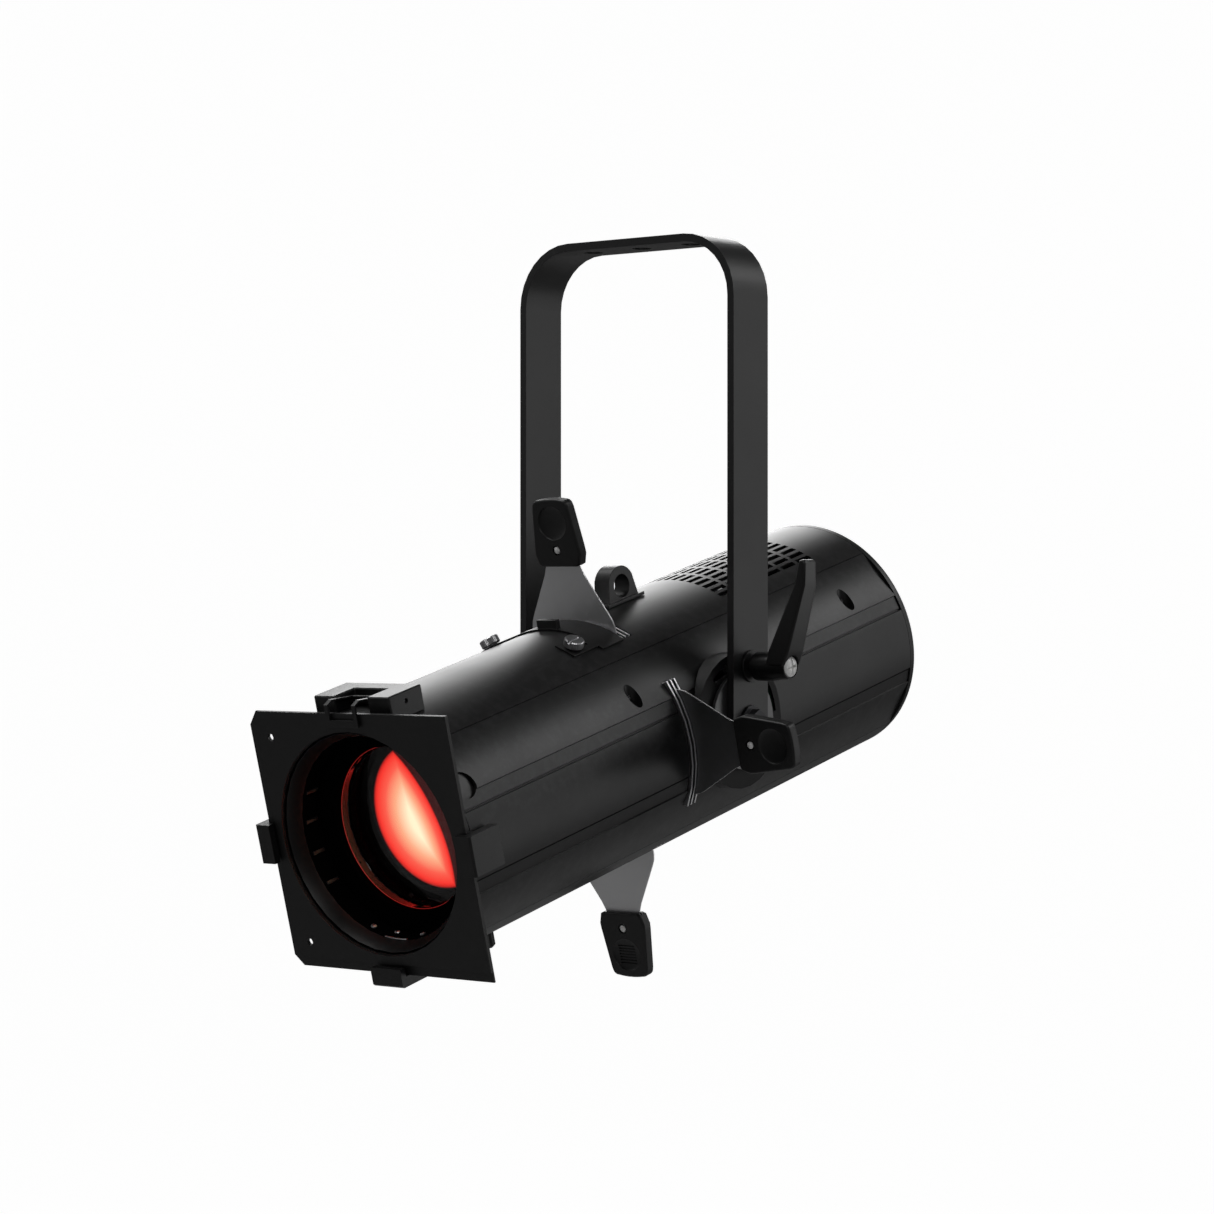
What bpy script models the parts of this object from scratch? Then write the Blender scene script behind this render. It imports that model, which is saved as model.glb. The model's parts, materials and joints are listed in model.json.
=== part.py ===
"""Ellipsoidal spotlight: LED engine, framing shutters and a zoom lens in one tilting barrel, hung in a yoke.

Metres, +Z up. The origin is the middle hanging hole on the yoke's top face. The light leaves along -Y,
and the barrel tilts about a line along X. Everything on the barrel is drawn in the barrel's own frame:
its axis along Y, stations measured forwards (towards -Y) from the tilt line, and angles round the barrel
measured from its top towards +X. The empty "tilt_line" then leans the whole barrel nose-down.
"""

import math

import bmesh
import bpy
from mathutils import Matrix, Vector

# Yoke
YOKE_WIDTH = 0.175
STRAP_WIDTH = 0.035
STRAP_THICKNESS = 0.005
YOKE_CORNER = 0.040
HANG_HOLE_RADIUS = 0.00625
HANG_HOLE_PITCH = 0.040
PIVOT_DROP = 0.304
ARM_BELOW_PIVOT = 0.019

# Barrel
REST_TILT = math.radians(15)
BARREL_RADIUS = 0.078
WALL = 0.0025
COVER_FRONT = 0.2545
COVER_REAR = -0.192
COVER_SPAN = 41.0
FLAT_END = 67.5
STRIP_END = 75.0
STRIP_DEPTH = 0.001
GROOVE_DEPTH = 0.0018
WELL_STATIONS = (0.081, -0.146)
WELL_RADIUS = 0.0042
HOLDER_WELL_ANGLE = 64.0
HOLDER_WELL_STATION = 0.2440
HOLDER_WELL_RADIUS = 0.0085

# Tilt clamp
CLAMP_RADIUS = 0.034
CLAMP_SWEEP = (-25.0, 90.0)
BRACKET_RADIUS = 0.0425
BRACKET_FACE = 0.0790
FRICTION_DISC_RADIUS = 0.0304

# Colour frame and the holder that takes it
FRAME_SIDE = 0.15875
FRAME_APERTURE = 0.068
FRAME_BACK = 0.2583
LEAF = 0.0012
EAR_FRONT = 0.2655

# Gobo slot cover and latch
SCREW_ANGLE = 24.5
SCREW_STATION = 0.0905
LATCH_AXIS_STATION = 0.2382
LATCH_AXIS_HEIGHT = 0.0812

# Shutter gate
SHUTTERS = {"top": 0, "right": 90, "bottom": 180, "left": 270}
GATE_APERTURE = 0.034
SIDE_BLADE_STATION = 0.0463
TOP_BLADE_STATION = 0.0495
BLADE_THICKNESS = 0.001
BLADE_INNER_END = 0.038
GATE_PLATES = {"gate_plate_rear": 0.04425, "gate_plate_middle": 0.0479, "gate_plate_front": 0.05135}
GATE_PLATE_THICKNESS = 0.0012
SLOT_SPAN = 31.0
GRIP_START = 0.113
GRIP_END = 0.156

# Lens train
ZOOM_STATION = 0.224
FOCUS_STATION = 0.184
CARRIAGE_LENGTH = 0.016
TUBE_BORE = 0.066
KNOB_RADIUS = 0.010

# Lamp end
VENT_STATIONS = (-0.050, -0.150)
VENT_ROWS = 5
VENT_SPAN = 30.0
VENT_COLUMNS = 11
UNDER_VENT_COLUMNS = 6
UNDER_VENT_ROWS = 3
VENT_HALF_WIDTH = 0.0013
VENT_BRIDGE = 0.003
PANEL_STATION = -0.186
PANEL_THICKNESS = 0.0025
REAR_END = -0.1975

# Rear panel, as (x, height) from the barrel's axis
CONNECTORS = {
    "power_inlet": (-0.0435, -0.030),
    "power_outlet": (-0.0145, -0.030),
    "data_inlet": (0.0145, -0.030),
    "data_outlet": (0.0435, -0.030),
}
CONNECTOR_RADIUS = 0.0120
BUTTONS = ("menu_button", "up_button", "down_button", "enter_button")
BUTTON_HEIGHT = 0.0105
BUTTON_PITCH = 0.014
DISPLAY_LOW = 0.0195
DISPLAY_HIGH = 0.0365
DISPLAY_HALF_WIDTH = 0.0300

GAP = 0.0003

ACROSS_BARREL = Matrix.Rotation(math.radians(90), 4, "X")
ACROSS_X = Matrix(((0, 0, 1, 0), (1, 0, 0, 0), (0, 1, 0, 0), (0, 0, 0, 1)))


# Scene, materials and the few ways in which every piece is made


def fresh_scene():
    for obj in list(bpy.data.objects):
        bpy.data.objects.remove(obj, do_unlink=True)


def new_collection(name):
    collection = bpy.data.collections.new(name)
    bpy.context.scene.collection.children.link(collection)
    return collection


def finish(name, colour, roughness, metallic=0.0):
    material = bpy.data.materials.new(name)
    material.use_nodes = True
    shader = material.node_tree.nodes["Principled BSDF"]
    shader.inputs["Base Color"].default_value = (*colour, 1)
    shader.inputs["Roughness"].default_value = roughness
    shader.inputs["Metallic"].default_value = metallic
    return material


def add_object(name, mesh, home=None):
    obj = bpy.data.objects.new(name, mesh)
    (home or PARTS).objects.link(obj)
    return obj


def dress(obj, material, parent=None, smooth=None):
    """Gives a piece its finish, hangs it on a parent and shades its round faces smooth."""
    obj.data.materials.clear()
    obj.data.materials.append(material)
    obj.parent = parent
    if smooth is not None:
        obj.data.shade_smooth()
        obj.data.set_sharp_from_angle(angle=math.radians(smooth))
    return obj


def arc(radius, start, end, steps, centre=(0.0, 0.0)):
    """Points on a circle, with angles in degrees from +X towards +Y."""
    points = []
    for index in range(steps + 1):
        angle = math.radians(start + (end - start) * index / steps)
        points.append((centre[0] + radius * math.cos(angle), centre[1] + radius * math.sin(angle)))
    return points


def circle(radius, steps=32, centre=(0.0, 0.0)):
    return arc(radius, 0, 360, steps, centre)[:-1]


def rectangle(left, right, low, high):
    return [(left, low), (right, low), (right, high), (left, high)]


def mirrored(points):
    """An outline drawn up its +X side, closed by its mirror image."""
    return points + [(-x, y) for x, y in reversed(points) if abs(x) > 1e-9]


def flat_outline(name, loops, low, high, place=None, home=None):
    """A plate: the loops' filled outline, holes included, from height low to height high, then placed."""
    curve = bpy.data.curves.new(name, "CURVE")
    curve.dimensions = "2D"
    curve.fill_mode = "BOTH"
    curve.extrude = (high - low) / 2
    for loop in loops:
        spline = curve.splines.new("POLY")
        spline.points.add(len(loop) - 1)
        for point, (x, y) in zip(spline.points, loop):
            point.co = (x, y, 0, 1)
        spline.use_cyclic_u = True
    outline = bpy.data.objects.new(name, curve)
    bpy.context.scene.collection.objects.link(outline)
    graph = bpy.context.evaluated_depsgraph_get()
    mesh = bpy.data.meshes.new_from_object(outline.evaluated_get(graph))
    bpy.data.objects.remove(outline, do_unlink=True)
    cage = bmesh.new()
    cage.from_mesh(mesh)
    bmesh.ops.remove_doubles(cage, verts=cage.verts, dist=1e-6)
    bmesh.ops.dissolve_limit(cage, angle_limit=0.002, verts=cage.verts, edges=cage.edges)
    bmesh.ops.translate(cage, verts=cage.verts, vec=(0, 0, (low + high) / 2))
    bmesh.ops.transform(cage, verts=cage.verts, matrix=place or Matrix.Identity(4))
    bmesh.ops.recalc_face_normals(cage, faces=cage.faces)
    cage.to_mesh(mesh)
    cage.free()
    mesh.name = name
    return add_object(name, mesh, home)


def turned(name, profile, steps=32, closed=False, home=None):
    """A profile of (radius, height) points, running down its outer side, turned about the object's Z axis.

    A closed profile may touch the axis: the stretch that runs along it makes no surface, so it is left out.
    """
    mesh = bpy.data.meshes.new(name)
    count = len(profile)
    edges = [(index, (index + 1) % count) for index in range(count if closed else count - 1)]
    edges = [(one, other) for one, other in edges if profile[one][0] + profile[other][0] > 0]
    mesh.from_pydata([(radius, 0, height) for radius, height in profile], edges, [])
    obj = add_object(name, mesh, home)
    screw = obj.modifiers.new("turn", "SCREW")
    screw.steps = steps
    screw.render_steps = steps
    screw.use_merge_vertices = True
    screw.merge_threshold = 0.00001
    return obj


def as_mesh(obj):
    """Turns a piece's modifiers into plain mesh, so that later ones start from finished edges."""
    graph = bpy.context.evaluated_depsgraph_get()
    mesh = bpy.data.meshes.new_from_object(obj.evaluated_get(graph))
    cage = bmesh.new()
    cage.from_mesh(mesh)
    bmesh.ops.remove_doubles(cage, verts=cage.verts, dist=1e-6)
    cage.to_mesh(mesh)
    cage.free()
    obj.modifiers.clear()
    obj.data = mesh
    return obj


def block(name, low, high, home=None):
    """A box between two corners."""
    mesh = bpy.data.meshes.new(name)
    cage = bmesh.new()
    bmesh.ops.create_cube(cage, size=1.0)
    size = Vector(high) - Vector(low)
    bmesh.ops.scale(cage, verts=cage.verts, vec=size)
    bmesh.ops.translate(cage, verts=cage.verts, vec=(Vector(low) + Vector(high)) / 2)
    cage.to_mesh(mesh)
    cage.free()
    return add_object(name, mesh, home)


def rod(name, radius, start, end, steps=24, home=None):
    """A cylinder from one point to another."""
    start = Vector(start)
    end = Vector(end)
    mesh = bpy.data.meshes.new(name)
    cage = bmesh.new()
    bmesh.ops.create_cone(
        cage, cap_ends=True, segments=steps, radius1=radius, radius2=radius, depth=(end - start).length
    )
    turn = (end - start).to_track_quat("Z", "Y").to_matrix().to_4x4()
    turn.translation = (start + end) / 2
    bmesh.ops.transform(cage, verts=cage.verts, matrix=turn)
    cage.to_mesh(mesh)
    cage.free()
    return add_object(name, mesh, home)


def bevelled(obj, width, segments=2, angle=30):
    bevel = obj.modifiers.new("rounded edges", "BEVEL")
    bevel.width = width
    bevel.segments = segments
    bevel.limit_method = "ANGLE"
    bevel.angle_limit = math.radians(angle)
    return obj


def combine(obj, other, operation, parent=None):
    other.hide_render = True
    other.display_type = "WIRE"
    other.parent = parent
    boolean = obj.modifiers.new(f"{operation.lower()} {other.name}", "BOOLEAN")
    boolean.operation = operation
    boolean.solver = "EXACT"
    boolean.object = other
    return obj


def cut(obj, cutter, parent=None):
    return combine(obj, cutter, "DIFFERENCE", parent)


def join(obj, other, parent=None):
    return combine(obj, other, "UNION", parent)


def round_barrel(angle, radius, station):
    """The point at an angle in degrees from the barrel's top, a radius and a station."""
    turn = math.radians(angle)
    return Vector((radius * math.sin(turn), -station, radius * math.cos(turn)))


def section(angles, radius):
    """The same points in the barrel's cross-section, as (x, height)."""
    return [(radius * math.sin(math.radians(a)), radius * math.cos(math.radians(a))) for a in angles]


def steps_between(start, end, count):
    return [start + (end - start) * index / count for index in range(count + 1)]


def sector(name, start, end, inner, outer, low, high, home, steps=12):
    """A piece of a thick tube round the barrel's axis."""
    loop = section(steps_between(start, end, steps), outer) + section(steps_between(end, start, steps), inner)
    return flat_outline(name, [loop], low, high, ACROSS_BARREL, home)


def radial_frame(angle, radius, station):
    """An empty whose Z points straight out of the barrel."""
    empty = bpy.data.objects.new("radial_seat", None)
    PARTS.objects.link(empty)
    empty.parent = TILT_LINE
    empty.location = round_barrel(angle, radius, station)
    empty.rotation_euler = (0, math.radians(angle), 0)
    return empty


fresh_scene()
PARTS = new_collection("ellipsoidal_spotlight")
CUTTERS = new_collection("cutters")

BLACK_PAINT = finish("satin_black_paint", (0.012, 0.012, 0.013), 0.42)
BLACK_CASTING = finish("black_casting", (0.014, 0.014, 0.015), 0.5)
BLACK_PLASTIC = finish("black_plastic", (0.016, 0.016, 0.017), 0.55)
SHEET_STEEL = finish("stainless_sheet", (0.42, 0.42, 0.43), 0.32, 1.0)
ZINC = finish("zinc_plated_steel", (0.55, 0.55, 0.56), 0.35, 1.0)
BARE_ALUMINIUM = finish("bare_aluminium", (0.62, 0.62, 0.63), 0.4, 1.0)
LENS_GLASS = finish("lens_glass", (0.9, 0.93, 0.95), 0.03)
BOARD = finish("circuit_board", (0.02, 0.12, 0.05), 0.5)
DISPLAY = finish("display_glass", (0.02, 0.03, 0.05), 0.1)

TILT_LINE = bpy.data.objects.new("tilt_line", None)
PARTS.objects.link(TILT_LINE)
TILT_LINE.location = (0, 0, -PIVOT_DROP)
TILT_LINE.rotation_euler = (REST_TILT, 0, 0)


# Yoke, its pivot bolts and the tilt clamp


def make_yoke():
    """A bent flat bar: the outline seen from the front, as deep as the bar is wide."""
    half = YOKE_WIDTH / 2
    bottom = -PIVOT_DROP - ARM_BELOW_PIVOT
    corner = (half - YOKE_CORNER, -YOKE_CORNER)
    outer = [(half, bottom)] + arc(YOKE_CORNER, 0, 90, 8, corner)
    inner_radius = YOKE_CORNER - STRAP_THICKNESS
    inner = arc(inner_radius, 90, 0, 8, corner) + [(half - STRAP_THICKNESS, bottom)]
    loop = outer + [(-x, z) for x, z in reversed(outer)] + [(-x, z) for x, z in inner[::-1]] + inner
    yoke = flat_outline("yoke_strap", [loop], -STRAP_WIDTH / 2, STRAP_WIDTH / 2, ACROSS_BARREL)
    cage = bmesh.new()
    cage.from_mesh(yoke.data)
    ends = []
    for edge in cage.edges:
        first, second = edge.verts
        if max(first.co.z, second.co.z) < bottom + 1e-5 and abs(first.co.y - second.co.y) < 1e-5:
            ends.append(edge)
    bmesh.ops.bevel(cage, geom=ends, offset=0.012, segments=4, profile=0.5, affect="EDGES", material=-1)
    cage.to_mesh(yoke.data)
    cage.free()
    for index in (-1, 0, 1):
        x = index * HANG_HOLE_PITCH
        cut(yoke, rod("hanging_hole", HANG_HOLE_RADIUS, (x, 0, -0.010), (x, 0, 0.005), 16, CUTTERS))
    for side in (-1, 1):
        inner, outer = (side * 0.07, 0, -PIVOT_DROP), (side * 0.1, 0, -PIVOT_DROP)
        cut(yoke, rod("pivot_hole", 0.0043, inner, outer, 14, CUTTERS))
    height = CLAMP_RADIUS - PIVOT_DROP
    cut(yoke, rod("clamp_hole", 0.0033, (0.07, 0, height), (0.1, 0, height), 14, CUTTERS))
    return dress(yoke, BLACK_PAINT, smooth=30)


def make_pivot_bolt(side, name):
    """Washer, nut and stud end outside the arm, and a shank that carries the barrel."""
    profile = [(0, 0.0965), (0.0028, 0.0965), (0.0035, 0.0958), (0.0035, 0.0893), (0.0100, 0.0893),
               (0.0100, 0.0878), (0.0040, 0.0878), (0.0040, 0.0730), (0, 0.0730)]
    bolt = turned(name, profile, 12)
    bolt.location = (0, 0, -PIVOT_DROP)
    bolt.rotation_euler = (0, side * math.radians(90), 0)
    inner, outer = (side * 0.0892, 0, -PIVOT_DROP), (side * 0.0945, 0, -PIVOT_DROP)
    join(bolt, rod("hexagon_nut", 0.0075, inner, outer, 6, CUTTERS))
    return dress(bolt, ZINC, smooth=35)


def make_clamp_bolt():
    """A T-bolt: its head runs in the bracket's arc slot, and its shank passes the arm."""
    profile = [(0, 0.1020), (0.0029, 0.1020), (0.0029, 0.0745), (0.0055, 0.0745), (0.0055, 0.0718), (0, 0.0718)]
    bolt = turned("clamp_bolt", profile, 14)
    bolt.location = (0, 0, CLAMP_RADIUS - PIVOT_DROP)
    bolt.rotation_euler = (0, math.radians(90), 0)
    return dress(bolt, ZINC, smooth=35)


def make_clamp_washer():
    profile = [(0.0100, 0.0893), (0.0100, 0.0878), (0.0033, 0.0878), (0.0033, 0.0893)]
    washer = turned("clamp_washer", profile, 20, closed=True)
    washer.location = (0, 0, CLAMP_RADIUS - PIVOT_DROP)
    washer.rotation_euler = (0, math.radians(90), 0)
    return dress(washer, BLACK_PAINT, smooth=35)


def make_clamp_lever():
    """A ratchet lever: sleeve, hub and cone turned about the clamp bolt, and a handle that leans outwards."""
    hub_profile = [(0, 0.1185), (0.0066, 0.1185), (0.0068, 0.1130), (0.0084, 0.1050), (0.0084, 0.0935),
                   (0.0078, 0.0926), (0.0053, 0.0926), (0.0053, 0.0896), (0.0034, 0.0896), (0.0034, 0.1030),
                   (0, 0.1030)]
    lever = turned("clamp_lever", hub_profile, 16)
    lever.location = (0, 0, CLAMP_RADIUS - PIVOT_DROP)
    lever.rotation_euler = (0, math.radians(90), 0)
    handle = [(0.1045, 0.000), (0.1185, 0.000), (0.1225, 0.010), (0.1335, 0.050), (0.1335, 0.060)]
    handle += arc(0.0022, 0, 150, 4, (0.1310, 0.0632)) + [(0.1255, 0.0510), (0.1065, 0.0090)]
    grip = flat_outline("lever_handle", [handle], -0.0055, 0.0055, ACROSS_BARREL, CUTTERS)
    grip.location = lever.location
    bevelled(grip, 0.0014, 1, 40)
    join(lever, grip)
    recess = rod("lever_screw_recess", 0.0062, (0.1160, 0, 0), (0.1300, 0, 0), 20, CUTTERS)
    recess.location = lever.location
    cut(lever, recess)
    return dress(lever, BLACK_PLASTIC, smooth=35)


def make_lever_screw():
    profile = [(0, 0.1196), (0.0040, 0.1192), (0.0058, 0.1176), (0.0058, 0.1163), (0, 0.1163)]
    screw = turned("lever_screw", profile, 16)
    screw.location = (0, 0, CLAMP_RADIUS - PIVOT_DROP)
    screw.rotation_euler = (0, math.radians(90), 0)
    return dress(screw, ZINC, smooth=35)


def arc_slot(name, half_width, low, high):
    """The clamp bolt's path in the barrel: the bolt stays upright in the yoke while the barrel tilts."""
    spare = math.degrees(half_width / CLAMP_RADIUS) + 0.8
    start = 90 - CLAMP_SWEEP[1] - spare
    end = 90 - CLAMP_SWEEP[0] + spare
    loop = arc(CLAMP_RADIUS + half_width, start, end, 12) + arc(CLAMP_RADIUS - half_width, end, start, 12)
    return flat_outline(name, [loop], low, high, ACROSS_X, CUTTERS)


def make_tilt_bracket(side, name):
    """A boss with a flat face for the friction disc, its back shaped to the barrel."""
    loops = [circle(BRACKET_RADIUS, 28), circle(0.0043, 10)]
    low, high = (0.0600, BRACKET_FACE) if side > 0 else (-BRACKET_FACE, -0.0600)
    bracket = flat_outline(name, loops, low, high, ACROSS_X)
    clearance = rod("barrel_clearance", BARREL_RADIUS + GAP, (0, -0.1, 0), (0, 0.1, 0), 72, CUTTERS)
    cut(bracket, clearance, TILT_LINE)
    if side > 0:
        cut(bracket, arc_slot("clamp_slot", 0.0034, 0.0740, 0.0850), TILT_LINE)
        cut(bracket, arc_slot("clamp_head_pocket", 0.0060, 0.0500, 0.0750), TILT_LINE)
    return dress(bracket, BLACK_CASTING, TILT_LINE, 30)


def make_friction_disc(side, name):
    loops = [circle(FRICTION_DISC_RADIUS, 28), circle(0.0043, 10)]
    low, high = (0.0793, 0.0822) if side > 0 else (-0.0822, -0.0793)
    disc = flat_outline(name, loops, low, high, ACROSS_X)
    return dress(disc, BARE_ALUMINIUM, TILT_LINE, 30)


# Barrel covers


def shell(name, outer, start, end):
    """A cover: its outer section, a plain inner arc, and the length of the barrel."""
    inner = section(steps_between(end, start, 9), BARREL_RADIUS - WALL)
    return flat_outline(name, [outer + inner], COVER_REAR, COVER_FRONT, ACROSS_BARREL)


def cover_section(middle):
    edge = COVER_SPAN - 0.15
    return steps_between(middle - edge, middle + edge, 16), middle - edge, middle + edge


def side_section():
    """Down the right-hand side: flat, recessed strip, groove, curved middle, and the same again below."""
    upper = [(COVER_SPAN + 0.15, 0), (FLAT_END, 0), (FLAT_END + 0.3, STRIP_DEPTH)]
    upper += [(STRIP_END - 1.0, STRIP_DEPTH), (STRIP_END - 0.7, GROOVE_DEPTH)]
    upper += [(STRIP_END - 0.1, GROOVE_DEPTH), (STRIP_END + 0.2, 0)]
    middle = [(angle, 0) for angle in steps_between(80.0, 90.0, 2)]
    half = upper + middle
    whole = half + [(180 - angle, depth) for angle, depth in reversed(half[:-1])]
    return [section([angle], BARREL_RADIUS - depth)[0] for angle, depth in whole]


def vent_slots(middle, columns, rows):
    """Rows of short slots along the barrel, in columns round it."""
    rear = min(VENT_STATIONS)
    pitch = (max(VENT_STATIONS) - rear) / rows
    slots = []
    for angle in steps_between(middle - VENT_SPAN, middle + VENT_SPAN, columns - 1):
        for row in range(rows):
            start = rear + row * pitch + VENT_BRIDGE / 2
            low = (-VENT_HALF_WIDTH, VENT_BRIDGE - start - pitch, -0.006)
            slot = block("vent_slot", low, (VENT_HALF_WIDTH, -start, 0.006), CUTTERS)
            turn = Matrix.Rotation(math.radians(angle), 4, "Y")
            slot.data.transform(turn @ Matrix.Translation((0, 0, BARREL_RADIUS)))
            slots.append(slot)
    return join_cutters("vent_pattern", slots)


def join_cutters(name, pieces):
    """Cutters that stand clear of one another, made into one."""
    cage = bmesh.new()
    for piece in pieces:
        cage.from_mesh(piece.data)
        bpy.data.objects.remove(piece, do_unlink=True)
    mesh = bpy.data.meshes.new(name)
    cage.to_mesh(mesh)
    cage.free()
    return add_object(name, mesh, CUTTERS)


def shutter_slot(middle):
    """The opening that one shutter and the ends of the gate plates come through."""
    low = min(GATE_PLATES.values()) - 0.0012
    high = max(GATE_PLATES.values()) + 0.0012
    return sector("shutter_slot", middle - SLOT_SPAN, middle + SLOT_SPAN, 0.070, 0.084, low, high, CUTTERS)


def make_top_cover():
    angles, start, end = cover_section(0)
    cover = shell("top_cover", section(angles, BARREL_RADIUS), start, end)
    cut(cover, vent_slots(0, VENT_COLUMNS, VENT_ROWS), TILT_LINE)
    cut(cover, shutter_slot(0), TILT_LINE)
    cut(cover, block("gobo_opening", (-0.026, -0.0715, 0.060), (0.026, -0.0565, 0.090), CUTTERS), TILT_LINE)
    for side in (-1, 1):
        inner = round_barrel(side * SCREW_ANGLE, 0.070, SCREW_STATION)
        outer = round_barrel(side * SCREW_ANGLE, 0.085, SCREW_STATION)
        cut(cover, rod("thumbscrew_hole", 0.0024, inner, outer, 12, CUTTERS), TILT_LINE)
    return dress(cover, BLACK_PAINT, TILT_LINE, 25)


def make_bottom_cover():
    angles, start, end = cover_section(180)
    cover = shell("bottom_cover", section(angles, BARREL_RADIUS), start, end)
    cut(cover, vent_slots(180, UNDER_VENT_COLUMNS, UNDER_VENT_ROWS), TILT_LINE)
    cut(cover, shutter_slot(180), TILT_LINE)
    slot = block("lens_knob_slot", (-0.0036, -0.2440, -0.090), (0.0036, -0.1040, -0.060), CUTTERS)
    cut(cover, slot, TILT_LINE)
    return dress(cover, BLACK_PAINT, TILT_LINE, 25)


def make_side_panel(side, name):
    edge = COVER_SPAN + 0.15
    panel = shell(name, side_section(), edge, 180 - edge)
    cut(panel, shutter_slot(90), TILT_LINE)
    for angle in (57.0, 123.0):
        for station in WELL_STATIONS:
            inner, outer = round_barrel(angle, 0.0742, station), round_barrel(angle, 0.09, station)
            cut(panel, rod("screw_well", WELL_RADIUS, inner, outer, 12, CUTTERS), TILT_LINE)
    inner = round_barrel(HOLDER_WELL_ANGLE, 0.0742, HOLDER_WELL_STATION)
    outer = round_barrel(HOLDER_WELL_ANGLE, 0.0900, HOLDER_WELL_STATION)
    cut(panel, rod("holder_screw_well", HOLDER_WELL_RADIUS, inner, outer, 20, CUTTERS), TILT_LINE)
    cut(panel, rod("pivot_boss_hole", 0.0075, (0.06, 0, 0), (0.09, 0, 0), 20, CUTTERS), TILT_LINE)
    if side > 0:
        cut(panel, arc_slot("panel_clamp_slot", 0.0064, 0.0500, 0.0850), TILT_LINE)
    panel.parent = TILT_LINE
    as_mesh(panel)
    if side < 0:
        panel.data.transform(Matrix.Scale(-1, 4, (1, 0, 0)))
        panel.data.flip_normals()
    return dress(panel, BLACK_PAINT, TILT_LINE, 25)


# Gobo slot cover with its two thumbscrews, and the safety eye


def make_gobo_cover():
    """A curved plate over the gobo slot: a wide back part, two ears with open slots, and a lift tab."""
    inner = BARREL_RADIUS + GAP
    plate = sector("gobo_cover", -32.2, 32.2, inner, inner + 0.001, 0.0532, 0.0980, PARTS, 14)
    cut(plate, sector("between_ears", -18.5, 18.5, 0.070, 0.090, 0.0745, 0.12, CUTTERS, 4), TILT_LINE)
    for side in (-1, 1):
        start, end = sorted((side * 29.7, side * 40.0))
        cut(plate, sector("ear_flank", start, end, 0.070, 0.090, 0.0745, 0.12, CUTTERS, 2), TILT_LINE)
        slot = [arc(0.0026, 0, 180, 6, (0, 0.0905)) + [(-0.0026, 0.0790), (0.0026, 0.0790)]]
        cutter = flat_outline("screw_slot", slot, 0.070, 0.090, None, CUTTERS)
        turn = Matrix.Rotation(math.radians(side * SCREW_ANGLE), 4, "Y")
        cutter.data.transform(turn @ Matrix.Scale(-1, 4, (0, 1, 0)))
        cutter.data.flip_normals()
        cut(plate, cutter, TILT_LINE)
    tab = flat_outline("lift_tab", [rectangle(-0.0078, 0.0078, 0.0775, 0.0845)], 0.0705, 0.0742, ACROSS_BARREL,
                       CUTTERS)
    trim = rod("tab_foot", inner + 0.0002, (0, -0.12, 0), (0, 0.0, 0), 96, CUTTERS)
    cut(tab, trim, TILT_LINE)
    join(plate, tab, TILT_LINE)
    return dress(plate, BLACK_PAINT, TILT_LINE, 30)


def make_thumbscrew(side, name):
    head = 0.0798 - BARREL_RADIUS
    profile = [(0, head + 0.0052), (0.0055, head + 0.0052), (0.0062, head + 0.0046), (0.0062, head + 0.0008),
               (0.0056, head), (0.0021, head), (0.0021, -0.0045), (0, -0.0045)]
    screw = turned(name, profile, 16)
    slot = block("coin_slot", (-0.007, -0.0007, head + 0.0038), (0.007, 0.0007, head + 0.007), CUTTERS)
    seat = radial_frame(side * SCREW_ANGLE, BARREL_RADIUS, SCREW_STATION)
    cut(screw, slot, seat)
    return dress(screw, ZINC, seat, 35)


def make_safety_eye():
    """A lug for the safety cable: a rounded triangle with a round hole, on a thin foot."""
    centre = (0.0, 0.0882)
    outline = [(0.0155, 0.0770)] + arc(0.0130, 25, 155, 10, centre) + [(-0.0155, 0.0770)]
    eye = flat_outline("safety_eye", [outline, circle(0.0074, 24, centre)], -0.006, 0.006, ACROSS_X)
    eye.location = (0, -0.0045, 0)
    footprint = rectangle(-0.0185, 0.0185, 0.0760, 0.0800)
    foot = flat_outline("eye_foot", [footprint], -0.008, 0.008, ACROSS_X, CUTTERS)
    foot.location = eye.location
    join(eye, foot, TILT_LINE)
    seat = rod("eye_seat", BARREL_RADIUS + GAP, (0, -0.06, 0), (0, 0.06, 0), 96, CUTTERS)
    cut(eye, seat, TILT_LINE)
    return dress(eye, BLACK_CASTING, TILT_LINE, 30)


# Front holder, latch and colour frame


def ear(turn):
    """One channel of the holder: a wall outside the colour frame and a lip in front of it."""
    wall = FRAME_SIDE / 2 + 0.0004
    outer = 0.086
    frame_front = FRAME_BACK + 2 * LEAF + 0.0005
    side = [(outer, 0.240), (outer, EAR_FRONT - 0.0012), (outer - 0.0012, EAR_FRONT), (0.0745, EAR_FRONT),
            (0.0745, frame_front), (wall, frame_front), (wall, FRAME_BACK - GAP), (0.0740, FRAME_BACK - GAP),
            (0.0740, COVER_FRONT + GAP), (wall, COVER_FRONT + GAP), (wall, 0.240)]
    loop = [(x, -station) for x, station in side]
    low, high = (-0.014, 0.010) if turn != 90 else (-0.012, 0.012)
    piece = flat_outline("holder_ear", [loop], low, high, None, CUTTERS)
    piece.data.transform(Matrix.Rotation(math.radians(turn), 4, "Y"))
    if turn == 180:
        piece.data.transform(Matrix.Scale(-1, 4, (0, 0, 1)))
        piece.data.flip_normals()
    return piece


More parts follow.
